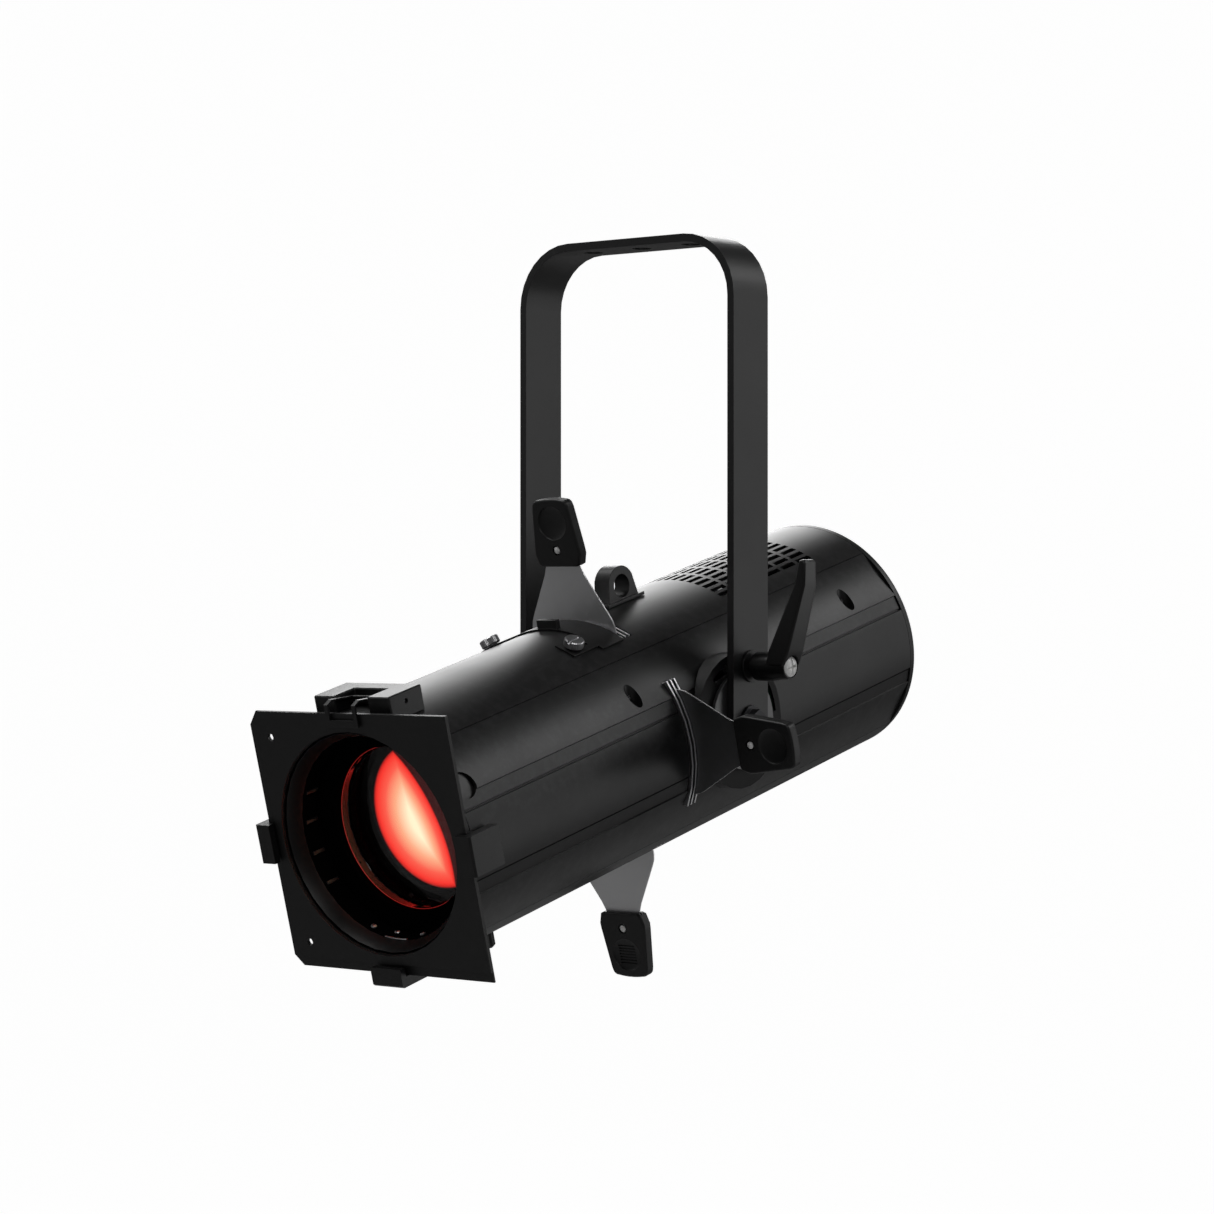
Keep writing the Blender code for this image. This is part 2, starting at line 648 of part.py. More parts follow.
def make_front_holder():
    """The front casting: a ring inside the covers, a flange behind the colour frame, and three ears."""
    flange = FRAME_BACK - GAP
    profile = [(0.0780, flange), (0.0780, COVER_FRONT + GAP), (0.0751, COVER_FRONT + GAP), (0.0751, 0.2365),
               (0.0625, 0.2365), (0.0625, 0.2490), (0.0668, flange)]
    holder = turned("front_holder", profile, 32, closed=True)
    holder.rotation_euler = (math.radians(90), 0, 0)
    for turn in (0, 90, 180):
        join(holder, ear(turn), TILT_LINE)
    return dress(holder, BLACK_CASTING, TILT_LINE, 30)


def make_latch_housing():
    """Two pads with an open space between them for the clip, on the barrel's top at the very front."""
    plan = [(0.0300, 0.2235), (0.0300, 0.2515), (0.0290, 0.2525), (0.0132, 0.2525), (0.0132, 0.2345)]
    loop = [(x, -station) for x, station in mirrored(plan)]
    housing = flat_outline("latch_housing", [loop], 0.0700, 0.0872)
    bevelled(housing, 0.0008, 1, 40)
    cut(housing, rod("housing_seat", BARREL_RADIUS + GAP, (0, -0.27, 0), (0, -0.21, 0), 96, CUTTERS), TILT_LINE)
    hole = rod("latch_pin_hole", 0.0016, (-0.05, -LATCH_AXIS_STATION, LATCH_AXIS_HEIGHT),
               (0.05, -LATCH_AXIS_STATION, LATCH_AXIS_HEIGHT), 12, CUTTERS)
    cut(housing, hole, TILT_LINE)
    return dress(housing, BLACK_CASTING, TILT_LINE, 30)


def make_latch_pin():
    pin = rod("latch_pin", 0.0013, (-0.0285, 0, 0), (0.0285, 0, 0), 12)
    pin.location = (0, -LATCH_AXIS_STATION, LATCH_AXIS_HEIGHT)
    return dress(pin, ZINC, TILT_LINE, 35)


def make_latch_clip():
    """A bent strip: rolled round its pin, forward over the colour frame's top edge, and down in front of it."""
    front = FRAME_BACK + 2 * LEAF + 0.0008 - LATCH_AXIS_STATION
    low = 0.0716 - LATCH_AXIS_HEIGHT
    thick = 0.0012
    side = [(0.0, 0.0016), (front - 0.004, 0.0046), (front, 0.0030), (front, low), (front + thick, low),
            (front + thick, 0.0036), (front - 0.0036, 0.0046 + thick), (0.0, 0.0016 + thick)]
    clip = flat_outline("latch_clip", [[(-x, z) for x, z in side]], -0.0124, 0.0124, ACROSS_X)
    window = block("clip_window", (-0.0095, -front - 0.01, low + 0.0042), (0.0095, -0.0035, 0.012), CUTTERS)
    barrel = turned("clip_roll", [(0.0028, 0.0124), (0.0028, -0.0124), (0.0016, -0.0124), (0.0016, 0.0124)], 14,
                    closed=True, home=CUTTERS)
    barrel.rotation_euler = (0, math.radians(90), 0)
    seat = bpy.data.objects.new("latch_seat", None)
    PARTS.objects.link(seat)
    seat.parent = TILT_LINE
    seat.location = (0, -LATCH_AXIS_STATION, LATCH_AXIS_HEIGHT)
    cut(clip, window, seat)
    join(clip, barrel, seat)
    return dress(clip, BLACK_PAINT, seat, 30)


def make_gel_frame():
    """Two leaves of sheet with a round window. The front leaf stops short of the left and lower edges."""
    half = FRAME_SIDE / 2
    back = [(half, -half), (half, half), (-half + 0.0066, half), (-half, half - 0.0085),
            (-half, -half + 0.0065), (-half + 0.0066, -half)]
    inset = 0.0062
    front = [(half, -half + inset), (half, half), (-half + 0.0095, half), (-half + inset, half - 0.0040),
             (-half + inset, -half + 0.0105), (-half + 0.0105, -half + inset)]
    holes = [circle(0.0024, 8, (x * 0.0632, z * 0.0636)) for x in (-1, 1) for z in (-1, 1)]
    window = circle(FRAME_APERTURE, 40)
    middle = FRAME_BACK + LEAF
    frame = flat_outline("gel_frame", [back, window, *holes], FRAME_BACK, middle, ACROSS_BARREL)
    leaf = flat_outline("front_leaf", [front, circle(FRAME_APERTURE + 0.0004, 40), *holes], middle - 0.0002,
                        middle + LEAF, ACROSS_BARREL, CUTTERS)
    join(frame, leaf, TILT_LINE)
    return dress(frame, BLACK_PAINT, TILT_LINE, 30)


# Shutter gate


def make_gate_plate(name, station):
    """A guide plate: a disc inside the covers, with a tongue in each of the four shutter slots."""
    outline = []
    tongue = SLOT_SPAN - 0.8
    for middle, reach in ((0, 0.0780), (90, 0.0796), (180, 0.0780), (270, 0.0796)):
        outline += section(steps_between(middle - tongue, middle + tongue, 6), reach)
        outline += section(steps_between(middle + tongue + 0.5, middle + 90 - tongue - 0.5, 2), 0.0751)
    half = GATE_PLATE_THICKNESS / 2
    loops = [outline, circle(GATE_APERTURE, 20)]
    plate = flat_outline(name, loops, station - half, station + half, ACROSS_BARREL)
    return dress(plate, SHEET_STEEL, TILT_LINE, 30)


def blade_outline():
    return mirrored([(0.0325, BLADE_INNER_END), (0.0335, BLADE_INNER_END + 0.001), (0.0335, 0.0735),
                     (0.0325, 0.0775), (0.0305, 0.0815), (0.0160, 0.1070), (0.0135, 0.1130), (0.0125, 0.1275)])


def grip_outline():
    """Wide at its shoulders, narrower at the blade and at the thumb end, which is a shallow arch."""
    crown = arc(0.060, 78, 90, 3, (0, GRIP_END - 0.060))
    side = [(0.0138, GRIP_START), (0.0162, GRIP_START + 0.001), (0.0182, GRIP_START + 0.0075)]
    side += [(0.0180, GRIP_START + 0.0110), (0.0146, GRIP_END - 0.006), (0.0135, GRIP_END - 0.0025)]
    return mirrored(side + crown)


def make_shutter(side, angle):
    station = TOP_BLADE_STATION if angle in (0, 180) else SIDE_BLADE_STATION
    turn = Matrix.Rotation(math.radians(angle), 4, "Y") @ ACROSS_BARREL
    half = BLADE_THICKNESS / 2
    blade = flat_outline(f"shutter_blade_{side}", [blade_outline()], station - half, station + half, turn)
    dress(blade, SHEET_STEEL, TILT_LINE)
    grip = flat_outline(f"shutter_grip_{side}", [grip_outline()], station - 0.0037, station + 0.0037, turn)
    bevelled(grip, 0.0011, 1, 35)
    pocket = flat_outline("blade_pocket", [mirrored([(0.0150, 0.110), (0.0129, 0.1279)])], station - half - GAP,
                          station + half + GAP, turn, CUTTERS)
    cut(grip, pocket, TILT_LINE)
    for face in (-1, 1):
        dimple = thumb_dimple()
        place = Matrix.Translation((0, 0.1405, station + face * 0.0037))
        dimple.data.transform(turn @ place)
        cut(grip, dimple, TILT_LINE)
    rivet = rod("rivet_hole", 0.0026, (0, 0.1235, station - 0.01), (0, 0.1235, station + 0.01), 12, CUTTERS)
    rivet.data.transform(turn)
    cut(grip, rivet, TILT_LINE)
    hole = rod("blade_hole", 0.0020, (0, 0.1235, station - 0.01), (0, 0.1235, station + 0.01), 10, CUTTERS)
    hole.data.transform(turn)
    cut(blade, hole, TILT_LINE)
    dress(grip, BLACK_PLASTIC, TILT_LINE, 35)


def thumb_dimple():
    mesh = bpy.data.meshes.new("thumb_dimple")
    cage = bmesh.new()
    bmesh.ops.create_uvsphere(cage, u_segments=8, v_segments=4, radius=1.0)
    bmesh.ops.scale(cage, verts=cage.verts, vec=(0.0108, 0.0112, 0.0016))
    cage.to_mesh(mesh)
    cage.free()
    return add_object("thumb_dimple", mesh, CUTTERS)


# Lens train


def make_lens_tube():
    """The tube in which both lens carriages slide, slotted underneath for their posts."""
    profile = [(0.0682, 0.2362), (0.0682, 0.0560), (TUBE_BORE, 0.0560), (TUBE_BORE, 0.2362)]
    tube = turned("lens_tube", profile, 28, closed=True)
    tube.rotation_euler = (math.radians(90), 0, 0)
    slot = block("tube_slot", (-0.0040, -0.2300 - 0.012, -0.08), (0.0040, -0.0980, -0.05), CUTTERS)
    cut(tube, slot, TILT_LINE)
    return dress(tube, BLACK_PAINT, TILT_LINE, 30)


def make_carriage(name, station, bore):
    """A ring that holds one lens, with a post down through the slots."""
    half = CARRIAGE_LENGTH / 2
    outer = TUBE_BORE - GAP
    profile = [(outer, half), (outer, -half), (bore - 0.0015, -half), (bore - 0.0015, -0.0045), (bore, -0.0045),
               (bore, half)]
    ring = turned(name, profile, 28, closed=True)
    ring.rotation_euler = (math.radians(90), 0, 0)
    ring.location = (0, -station, 0)
    post = rod(f"{name}_post", 0.0030, (0, -station, -0.064), (0, -station, -0.0865), 12, CUTTERS)
    join(ring, post, TILT_LINE)
    return dress(ring, BLACK_CASTING, TILT_LINE, 30)


def lens_profile(radius, edge, crown):
    """Half a section of a plano-convex lens: a domed front, a ground edge and a flat back."""
    front = [(radius * t / 4, edge / 2 + crown * (1 - (t / 4) ** 2)) for t in range(5)]
    return front + [(radius, -edge / 2), (0, -edge / 2)]


def make_lens(name, station, radius, edge, crown):
    lens = turned(name, lens_profile(radius, edge, crown), 20)
    lens.rotation_euler = (math.radians(90), 0, 0)
    lens.location = (0, -station, 0)
    return dress(lens, LENS_GLASS, TILT_LINE, 40)


def make_lens_knob(name, station):
    """A clamp knob under the barrel, screwed on its carriage's post."""
    top = -(BARREL_RADIUS + 0.0008)
    bottom = -0.0900
    profile = [(0.0034, top), (0.0085, top), (KNOB_RADIUS, top - 0.0012), (KNOB_RADIUS, bottom + 0.001),
               (KNOB_RADIUS - 0.001, bottom), (0, bottom), (0, -0.0868), (0.0034, -0.0868)]
    knob = turned(name, profile, 16, closed=True)
    knob.location = (0, -station, 0)
    flutes = []
    for x, y in circle(KNOB_RADIUS + 0.0008, 8):
        flutes.append(rod("flute", 0.0013, (x, y, top - 0.0022), (x, y, bottom - 0.01), 5, CUTTERS))
    pattern = join_cutters("knob_flutes", flutes)
    pattern.location = knob.location
    cut(knob, pattern, TILT_LINE)
    return dress(knob, BLACK_PLASTIC, TILT_LINE, 30)


# Lamp end: LED engine, cooling, rear cap and connections


def make_heat_sink():
    """A round base plate with straight fins towards the fan."""
    sink = flat_outline("heat_sink", [circle(0.060, 24)], -0.0995, -0.0940, ACROSS_BARREL)
    for index in range(-5, 6):
        x = index * 0.0098
        reach = math.sqrt(0.058**2 - x**2)
        fin = block("fin", (x - 0.0009, 0.0990, -reach), (x + 0.0009, 0.1380, reach), CUTTERS)
        join(sink, fin, TILT_LINE)
    return dress(sink, BARE_ALUMINIUM, TILT_LINE, 30)


def make_fan():
    loops = [rectangle(-0.046, 0.046, -0.046, 0.046), circle(0.0435, 32)]
    frame = flat_outline("fan_frame", loops, -0.1655, -0.1425, ACROSS_BARREL)
    bar = block("fan_bar", (-0.0445, 0.1425, -0.004), (0.0445, 0.1445, 0.004), CUTTERS)
    join(frame, bar, TILT_LINE)
    dress(frame, BLACK_PLASTIC, TILT_LINE, 30)
    rotor = turned("fan_rotor", [(0, -0.1455), (0.016, -0.1455), (0.016, -0.1630), (0, -0.1630)], 16)
    rotor.rotation_euler = (math.radians(90), 0, 0)
    for index in range(7):
        blade = block("fan_blade", (-0.0007, 0.1475, 0.014), (0.0007, 0.1615, 0.0418), CUTTERS)
        lean = Matrix.Translation((0, 0.1545, 0)) @ Matrix.Rotation(math.radians(40), 4, "Z")
        lean = lean @ Matrix.Translation((0, -0.1545, 0))
        blade.data.transform(Matrix.Rotation(math.radians(index * 360 / 7), 4, "Y") @ lean)
        join(rotor, blade, TILT_LINE)
    return dress(rotor, BLACK_PLASTIC, TILT_LINE, 30)


def make_led_board():
    board = flat_outline("led_board", [circle(0.040, 28)], -0.0936, -0.0918, ACROSS_BARREL)
    chip = rectangle(-0.011, 0.011, -0.011, 0.011)
    emitter = flat_outline("led_emitter", [chip], -0.0922, -0.0900, ACROSS_BARREL, CUTTERS)
    join(board, emitter, TILT_LINE)
    return dress(board, BOARD, TILT_LINE)


def make_reflector():
    """The bowl that gathers the light towards the gate: part of an ellipse turned about the barrel's axis."""
    depth = 0.085
    wide = 0.052
    start = -0.0890
    angles = steps_between(20, 88, 5)
    turns = [math.radians(angle) for angle in angles]
    outer = [(wide * math.sin(turn), start + depth * (1 - math.cos(turn))) for turn in turns]
    inner = [(radius - 0.0018, height) for radius, height in outer]
    profile = outer[::-1] + inner
    bowl = turned("ellipsoidal_reflector", profile, 18, closed=True)
    bowl.rotation_euler = (math.radians(90), 0, 0)
    return dress(bowl, BARE_ALUMINIUM, TILT_LINE, 40)


def make_condenser():
    profile = [(0.0751, 0.0240), (0.0751, 0.0150), (0.0735, 0.0150), (0.0735, 0.0210), (0.0400, 0.0210),
               (0.0400, 0.0240)]
    holder = turned("condenser_holder", profile, 20, closed=True)
    holder.rotation_euler = (math.radians(90), 0, 0)
    dress(holder, BLACK_CASTING, TILT_LINE, 30)
    return make_lens("condenser_lens", 0.0275, 0.0400, 0.0050, 0.0090)


def make_rear_cap():
    """The rear casting: a rim that ends the covers, with a ledge inside for the panel."""
    ledge = PANEL_STATION + PANEL_THICKNESS + GAP
    profile = [(0.0751, ledge + 0.0030), (0.0751, COVER_REAR - GAP), (0.0780, COVER_REAR - GAP),
               (0.0780, REAR_END + 0.0016), (0.0775, REAR_END + 0.0004), (0.0764, REAR_END), (0.0735, REAR_END),
               (0.0725, REAR_END + 0.001), (0.0725, ledge), (0.0660, ledge), (0.0660, ledge + 0.0030)]
    cap = turned("rear_cap", profile, 32, closed=True)
    cap.rotation_euler = (math.radians(90), 0, 0)
    return dress(cap, BLACK_PLASTIC, TILT_LINE, 30)


def make_rear_panel():
    """The plate that carries the display, the buttons and the sockets."""
    window = rectangle(-DISPLAY_HALF_WIDTH, DISPLAY_HALF_WIDTH, DISPLAY_LOW, DISPLAY_HIGH)
    loops = [circle(0.0725 - GAP, 32), window]
    loops += [circle(0.0044, 8, (x, BUTTON_HEIGHT)) for x in button_places()]
    loops += [circle(CONNECTOR_RADIUS + GAP, 14, centre) for centre in CONNECTORS.values()]
    panel = flat_outline("rear_panel", loops, PANEL_STATION, PANEL_STATION + PANEL_THICKNESS, ACROSS_BARREL)
    return dress(panel, BLACK_PAINT, TILT_LINE, 30)


def button_places():
    return [(index - 1.5) * BUTTON_PITCH for index in range(4)]


def make_display():
    front = -PANEL_STATION - GAP
    low = (GAP - DISPLAY_HALF_WIDTH, front - PANEL_THICKNESS, DISPLAY_LOW + GAP)
    high = (DISPLAY_HALF_WIDTH - GAP, front, DISPLAY_HIGH - GAP)
    return dress(block("display_window", low, high), DISPLAY, TILT_LINE)


def make_button(name, x):
    profile = [(0, 0.0022), (0.0032, 0.0022), (0.0040, 0.0014), (0.0040, -0.0030), (0.0052, -0.0030),
               (0.0052, -0.0042), (0, -0.0042)]
    button = turned(name, profile, 10)
    button.location = (x, -PANEL_STATION, BUTTON_HEIGHT)
    button.rotation_euler = (math.radians(-90), 0, 0)
    return dress(button, BLACK_PLASTIC, TILT_LINE, 35)


def make_connector(name, x, z):
    """A round panel socket with a recessed face, a centre post or three contact holes."""
    profile = [(CONNECTOR_RADIUS, 0.0030), (CONNECTOR_RADIUS, -0.0120), (0, -0.0120), (0, -0.0060),
               (0.0088, -0.0060), (0.0088, 0.0030)]
    socket = turned(name, profile, 14, closed=True)
    socket.location = (x, -PANEL_STATION, z)
    socket.rotation_euler = (math.radians(-90), 0, 0)
    if name.startswith("power"):
        inner = (x, -PANEL_STATION - 0.0065, z)
        outer = (x, -PANEL_STATION - 0.0025, z)
        post = rod(f"{name}_post", 0.0045, inner, outer, 12, CUTTERS)
        join(socket, post, TILT_LINE)
    else:
        for contact_x, contact_z in arc(0.0040, 90, 330, 2, (x, z)):
            inner = (contact_x, -PANEL_STATION - 0.0090, contact_z)
            outer = (contact_x, -PANEL_STATION - 0.0025, contact_z)
            contact = rod(f"{name}_contact", 0.0011, inner, outer, 8, CUTTERS)
            if name == "data_inlet":
                join(socket, contact, TILT_LINE)
            else:
                cut(socket, contact, TILT_LINE)
    return dress(socket, BLACK_PLASTIC, TILT_LINE, 35)


make_yoke()
make_pivot_bolt(1, "pivot_bolt_right")
make_pivot_bolt(-1, "pivot_bolt_left")
make_clamp_bolt()
make_clamp_washer()
make_clamp_lever()
make_lever_screw()
make_tilt_bracket(1, "tilt_bracket_right")
make_tilt_bracket(-1, "tilt_bracket_left")
make_friction_disc(1, "friction_disc_right")
make_friction_disc(-1, "friction_disc_left")
make_top_cover()
make_bottom_cover()
make_side_panel(1, "side_panel_right")
make_side_panel(-1, "side_panel_left")
make_gobo_cover()
make_thumbscrew(1, "thumbscrew_right")
make_thumbscrew(-1, "thumbscrew_left")
make_safety_eye()
make_front_holder()
make_latch_housing()
make_latch_pin()
make_latch_clip()
make_gel_frame()
for plate_name, plate_station in GATE_PLATES.items():
    make_gate_plate(plate_name, plate_station)
for shutter_side, shutter_angle in SHUTTERS.items():
    make_shutter(shutter_side, shutter_angle)
make_lens_tube()
make_carriage("zoom_carriage", ZOOM_STATION, 0.051)
make_lens("front_lens", ZOOM_STATION, 0.0504, 0.0070, 0.0070)
make_carriage("focus_carriage", FOCUS_STATION, 0.047)
make_lens("rear_lens", FOCUS_STATION, 0.0464, 0.0070, 0.0060)
make_lens_knob("zoom_knob", ZOOM_STATION)
make_lens_knob("focus_knob", FOCUS_STATION)
make_heat_sink()
make_fan()
make_led_board()
make_reflector()
make_condenser()
make_rear_cap()
make_rear_panel()
make_display()
for button_name, button_x in zip(BUTTONS, button_places()):
    make_button(button_name, button_x)
for socket_name, (socket_x, socket_z) in CONNECTORS.items():
    make_connector(socket_name, socket_x, socket_z)
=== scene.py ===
# %% [markdown]
# # An ellipsoidal spotlight, finished
# The CAD frame gives every rigid piece its size and place. This lesson puts the looks on it: rounded
# edges that catch the light, turned and moulded pieces at full resolution, painted, cast, moulded and
# bare-metal finishes, and the red light inside the lens tube.

import json
import math

import bmesh
import bpy
from mathutils import Matrix, Vector


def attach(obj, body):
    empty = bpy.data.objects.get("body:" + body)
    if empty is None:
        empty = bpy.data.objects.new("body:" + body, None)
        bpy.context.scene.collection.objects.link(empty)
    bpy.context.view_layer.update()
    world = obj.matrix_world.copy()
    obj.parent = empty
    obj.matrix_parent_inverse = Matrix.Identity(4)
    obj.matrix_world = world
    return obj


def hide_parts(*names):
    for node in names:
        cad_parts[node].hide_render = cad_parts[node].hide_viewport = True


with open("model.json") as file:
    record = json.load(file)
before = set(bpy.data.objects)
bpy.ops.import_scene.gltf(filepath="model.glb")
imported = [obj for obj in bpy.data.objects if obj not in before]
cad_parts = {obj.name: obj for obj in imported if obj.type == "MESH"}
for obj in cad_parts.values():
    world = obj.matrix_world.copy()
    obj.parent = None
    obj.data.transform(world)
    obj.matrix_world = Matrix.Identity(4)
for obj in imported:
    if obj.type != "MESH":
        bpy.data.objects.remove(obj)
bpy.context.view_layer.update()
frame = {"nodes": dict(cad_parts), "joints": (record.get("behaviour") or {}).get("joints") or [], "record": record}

# %% [markdown]
# ## The barrel's own axes
# Almost everything sits on the barrel, which leans nose-down. It is far easier to model a piece upright
# and turn it once. The tilt joint says where the barrel turns, and the zoom slide says which way the
# light leaves, so the barrel's axes are read from the joints and never typed in.

# %% Barrel axes
JOINTS = {joint["name"]: joint for joint in frame["joints"]}
BODY_OF = {node: body for body, nodes in frame["record"]["behaviour"]["bodies"].items() for node in nodes}
PIVOT = Vector(JOINTS["barrel_tilt"]["pos_m"])
FORWARD = Vector(JOINTS["zoom_slide"]["axis"]).normalized()
UPWARD = -Vector(JOINTS["shutter_top_slide"]["axis"]).normalized()


def barrel_matrix():
    """Columns of the barrel's axes: X across it, Y backwards along it, Z out of its top."""
    matrix = Matrix((Vector((1, 0, 0)), -FORWARD, UPWARD)).transposed().to_4x4()
    matrix.translation = PIVOT
    return matrix


BARREL = barrel_matrix()
INTO_BARREL = BARREL.inverted()
QUARTER_X = Matrix.Rotation(math.radians(90), 4, "X")
LENGTHWISE = BARREL @ QUARTER_X
BARREL_RADIUS = 0.078
COVER_THICKNESS = 0.0025
print("barrel leans", round(math.degrees(math.asin(-FORWARD.z)), 2), "degrees nose-down")


def barrel_box(node):
    """Lowest and highest corner of a CAD node in the barrel's axes."""
    points = [INTO_BARREL @ vertex.co for vertex in frame["nodes"][node].data.vertices]
    low = Vector([min(point[axis] for point in points) for axis in range(3)])
    high = Vector([max(point[axis] for point in points) for axis in range(3)])
    return low, high


def round_barrel(angle, radius, station):
    """The point at an angle in degrees from the barrel's top towards +X, in the barrel's axes."""
    turn = math.radians(angle)
    return Vector((radius * math.sin(turn), -station, radius * math.cos(turn)))


def seat_on_barrel(angle, radius, station):
    """A matrix whose Z points straight out of the barrel at that place, and whose Y points backwards."""
    local = Matrix.Translation(round_barrel(angle, radius, station))
    return BARREL @ (local @ Matrix.Rotation(math.radians(angle), 4, "Y"))


def seat_on_axis(origin, axis):
    """A matrix whose Z runs along an axis."""
    matrix = Vector(axis).to_track_quat("Z", "Y").to_matrix().to_4x4()
    matrix.translation = origin
    return matrix


def linked(name, data):
    """A new object in the scene."""
    made = bpy.data.objects.new(name, data)
    bpy.context.scene.collection.objects.link(made)
    return made

# %% [markdown]
# ## Camera
# A long lens on a level camera keeps the uprights upright. The camera stands well back, to the lamp's
# front right. Its direction is one angle, and its place is given from the tilt line.

# %% Camera
VIEW_ANGLE = math.radians(39.785)
CAMERA_LENS = 101.3
CAMERA_OFFSET = Vector((1.3760, -1.6869, 0.0707))

camera_data = bpy.data.cameras.new("catalogue_camera")
camera_data.lens = CAMERA_LENS
camera_data.sensor_width = 36.0
camera_data.clip_end = 60.0
camera = linked("catalogue_camera", camera_data)
camera.location = PIVOT + CAMERA_OFFSET
camera.rotation_euler = (math.radians(90), 0, VIEW_ANGLE)
bpy.context.scene.camera = camera
print("camera stands", round(CAMERA_OFFSET.length, 2), "m from the tilt line")

# %% [markdown]
# ## Stage and light
# The lamp hangs, so the floor lies far below it. One pale sheet runs from the floor up behind the lamp
# in a wide curve, as a studio's paper roll does, so no horizon shows. Black paint shows only what it
# reflects. Three softboxes stand behind the lamp, where its top, its side flats and the yoke's arms
# look at a grazing angle, and they draw the long highlights. The front stays dim, so it stays black.

# %% Paper sheet
FLOOR_DROP = 1.5
STAGE_HALF = 9.0
COVE_RADIUS = 2.5
PAPER_GREY = (0.40, 0.40, 0.40, 1)
PAPER_TO_OBJECT = 0.05
PAPER_TO_CAMERA = 0.95


def paper_material():
    """White paper that looks brighter to the camera than the light it sends back to the lamp."""
    paper = bpy.data.materials.new("studio_paper")
    paper.use_nodes = True
    tree = paper.node_tree
    shader = tree.nodes["Principled BSDF"]
    shader.inputs["Base Color"].default_value = PAPER_GREY
    shader.inputs["Roughness"].default_value = 0.9
    shader.inputs["Emission Color"].default_value = (1, 1, 1, 1)
    path = tree.nodes.new("ShaderNodeLightPath")
    glow = tree.nodes.new("ShaderNodeMapRange")
    glow.inputs["To Min"].default_value = PAPER_TO_OBJECT
    glow.inputs["To Max"].default_value = PAPER_TO_CAMERA
    tree.links.new(path.outputs["Is Camera Ray"], glow.inputs["Value"])
    tree.links.new(glow.outputs["Result"], shader.inputs["Emission Strength"])
    return paper


def make_stage():
    """A floor with a curved rise to a wall on each of its four sides."""
    cage = bmesh.new()
    bmesh.ops.create_grid(cage, x_segments=1, y_segments=1, size=STAGE_HALF)
    bmesh.ops.translate(cage, verts=cage.verts, vec=(PIVOT.x, PIVOT.y, PIVOT.z - FLOOR_DROP))
    rim = bmesh.ops.extrude_edge_only(cage, edges=cage.edges)["geom"]
    top = [item for item in rim if isinstance(item, bmesh.types.BMVert)]
    bmesh.ops.translate(cage, verts=top, vec=(0, 0, 2 * STAGE_HALF))
    turns = [edge for edge in cage.edges if len(edge.link_faces) == 2]
    bmesh.ops.bevel(cage, geom=turns, offset=COVE_RADIUS, segments=12, profile=0.5, affect="EDGES",
                    material=-1)
    mesh = bpy.data.meshes.new("studio_paper")
    cage.to_mesh(mesh)
    cage.free()
    mesh.shade_smooth()
    mesh.materials.append(paper_material())
    linked("studio_paper", mesh)


make_stage()
print("stage: one paper sheet")

# %% Softboxes
SOFTBOXES = {
    "overhead_softbox": ((-0.9, -0.5, 2.2), (2.4, 1.2), 26),
    "far_left_softbox": ((-1.9, 2.2, 1.35), (1.4, 1.9), 36),
    "far_middle_softbox": ((1.8, 2.0, 1.9), (1.2, 1.2), 16),
    "far_right_softbox": ((2.1, 2.4, 0.1), (1.3, 2.2), 9),
    "front_left_softbox": ((-2.4, -1.4, 0.8), (1.0, 2.0), 4),
    "front_fill": ((1.7, -1.7, 1.3), (1.0, 1.0), 9),
}


def soft_light(name, place, size, power):
    """A softbox, placed from the tilt line, that faces it."""
    data = bpy.data.lights.new(name, "AREA")
    data.shape = "RECTANGLE"
    data.size, data.size_y = size
    data.energy = power
    light = linked(name, data)
    light.location = PIVOT + Vector(place)
    light.rotation_euler = (PIVOT - light.location).to_track_quat("-Z", "Y").to_euler()


for softbox, (place, size, power) in SOFTBOXES.items():
    soft_light(softbox, place, size, power)

world = bpy.data.worlds.new("dim_room")
bpy.context.scene.world = world
world.use_nodes = True
world.node_tree.nodes["Background"].inputs["Color"].default_value = (1, 1, 1, 1)
world.node_tree.nodes["Background"].inputs["Strength"].default_value = 0.03
bpy.context.scene.view_settings.view_transform = "Standard"
print("lights:", len(SOFTBOXES), "softboxes")

# %% [markdown]
# ## Shared effects
# Several finishes show the same things: the fine orange-peel of paint, dust on what looks up, streaks
# left by a brush, rings left by a lathe, and a little handling wear. They could be built again in each
# material. Each one is a node group with named inputs instead, so that it is built once and placed in
# every material with its own numbers.

# %% Node helpers
FLOAT = "NodeSocketFloat"
VECTOR = "NodeSocketVector"


def set_inputs(tree, node, **settings):
    """Sets inputs by name: a plain value is set, and another node's output is linked."""
    for label, value in settings.items():
        socket = node.inputs[label.replace("_", " ")]
        if isinstance(value, bpy.types.NodeSocket):
            tree.links.new(value, socket)
        else:
            socket.default_value = value


def add_node(tree, kind, **settings):
    """A node with its properties and inputs set by name."""
    node = tree.nodes.new(kind)
    for label in [label for label in settings if hasattr(node, label)]:
        setattr(node, label, settings.pop(label))
    set_inputs(tree, node, **settings)
    return node


def object_place(tree):
    return tree.nodes.new("ShaderNodeTexCoord").outputs["Object"]


def maths(tree, operation, first, second):
    """The result of a Math node; each side is a number or an output."""
    node = add_node(tree, "ShaderNodeMath", operation=operation)
    for socket, value in zip(node.inputs, (first, second)):
        if isinstance(value, bpy.types.NodeSocket):
            tree.links.new(value, socket)
        else:
            socket.default_value = value
    return node.outputs[0]


def new_group(name, inputs, outputs):
    """An empty shader group, what its entry gives and what its end takes."""
    group = bpy.data.node_groups.new(name, "ShaderNodeTree")
    for label, kind, value in inputs:
        socket = group.interface.new_socket(label, in_out="INPUT", socket_type=kind)
        if kind == FLOAT:
            socket.default_value = value
    for label in outputs:
        group.interface.new_socket(label, in_out="OUTPUT", socket_type=FLOAT)
    return group, group.nodes.new("NodeGroupInput").outputs, group.nodes.new("NodeGroupOutput")


print("node helpers ready")

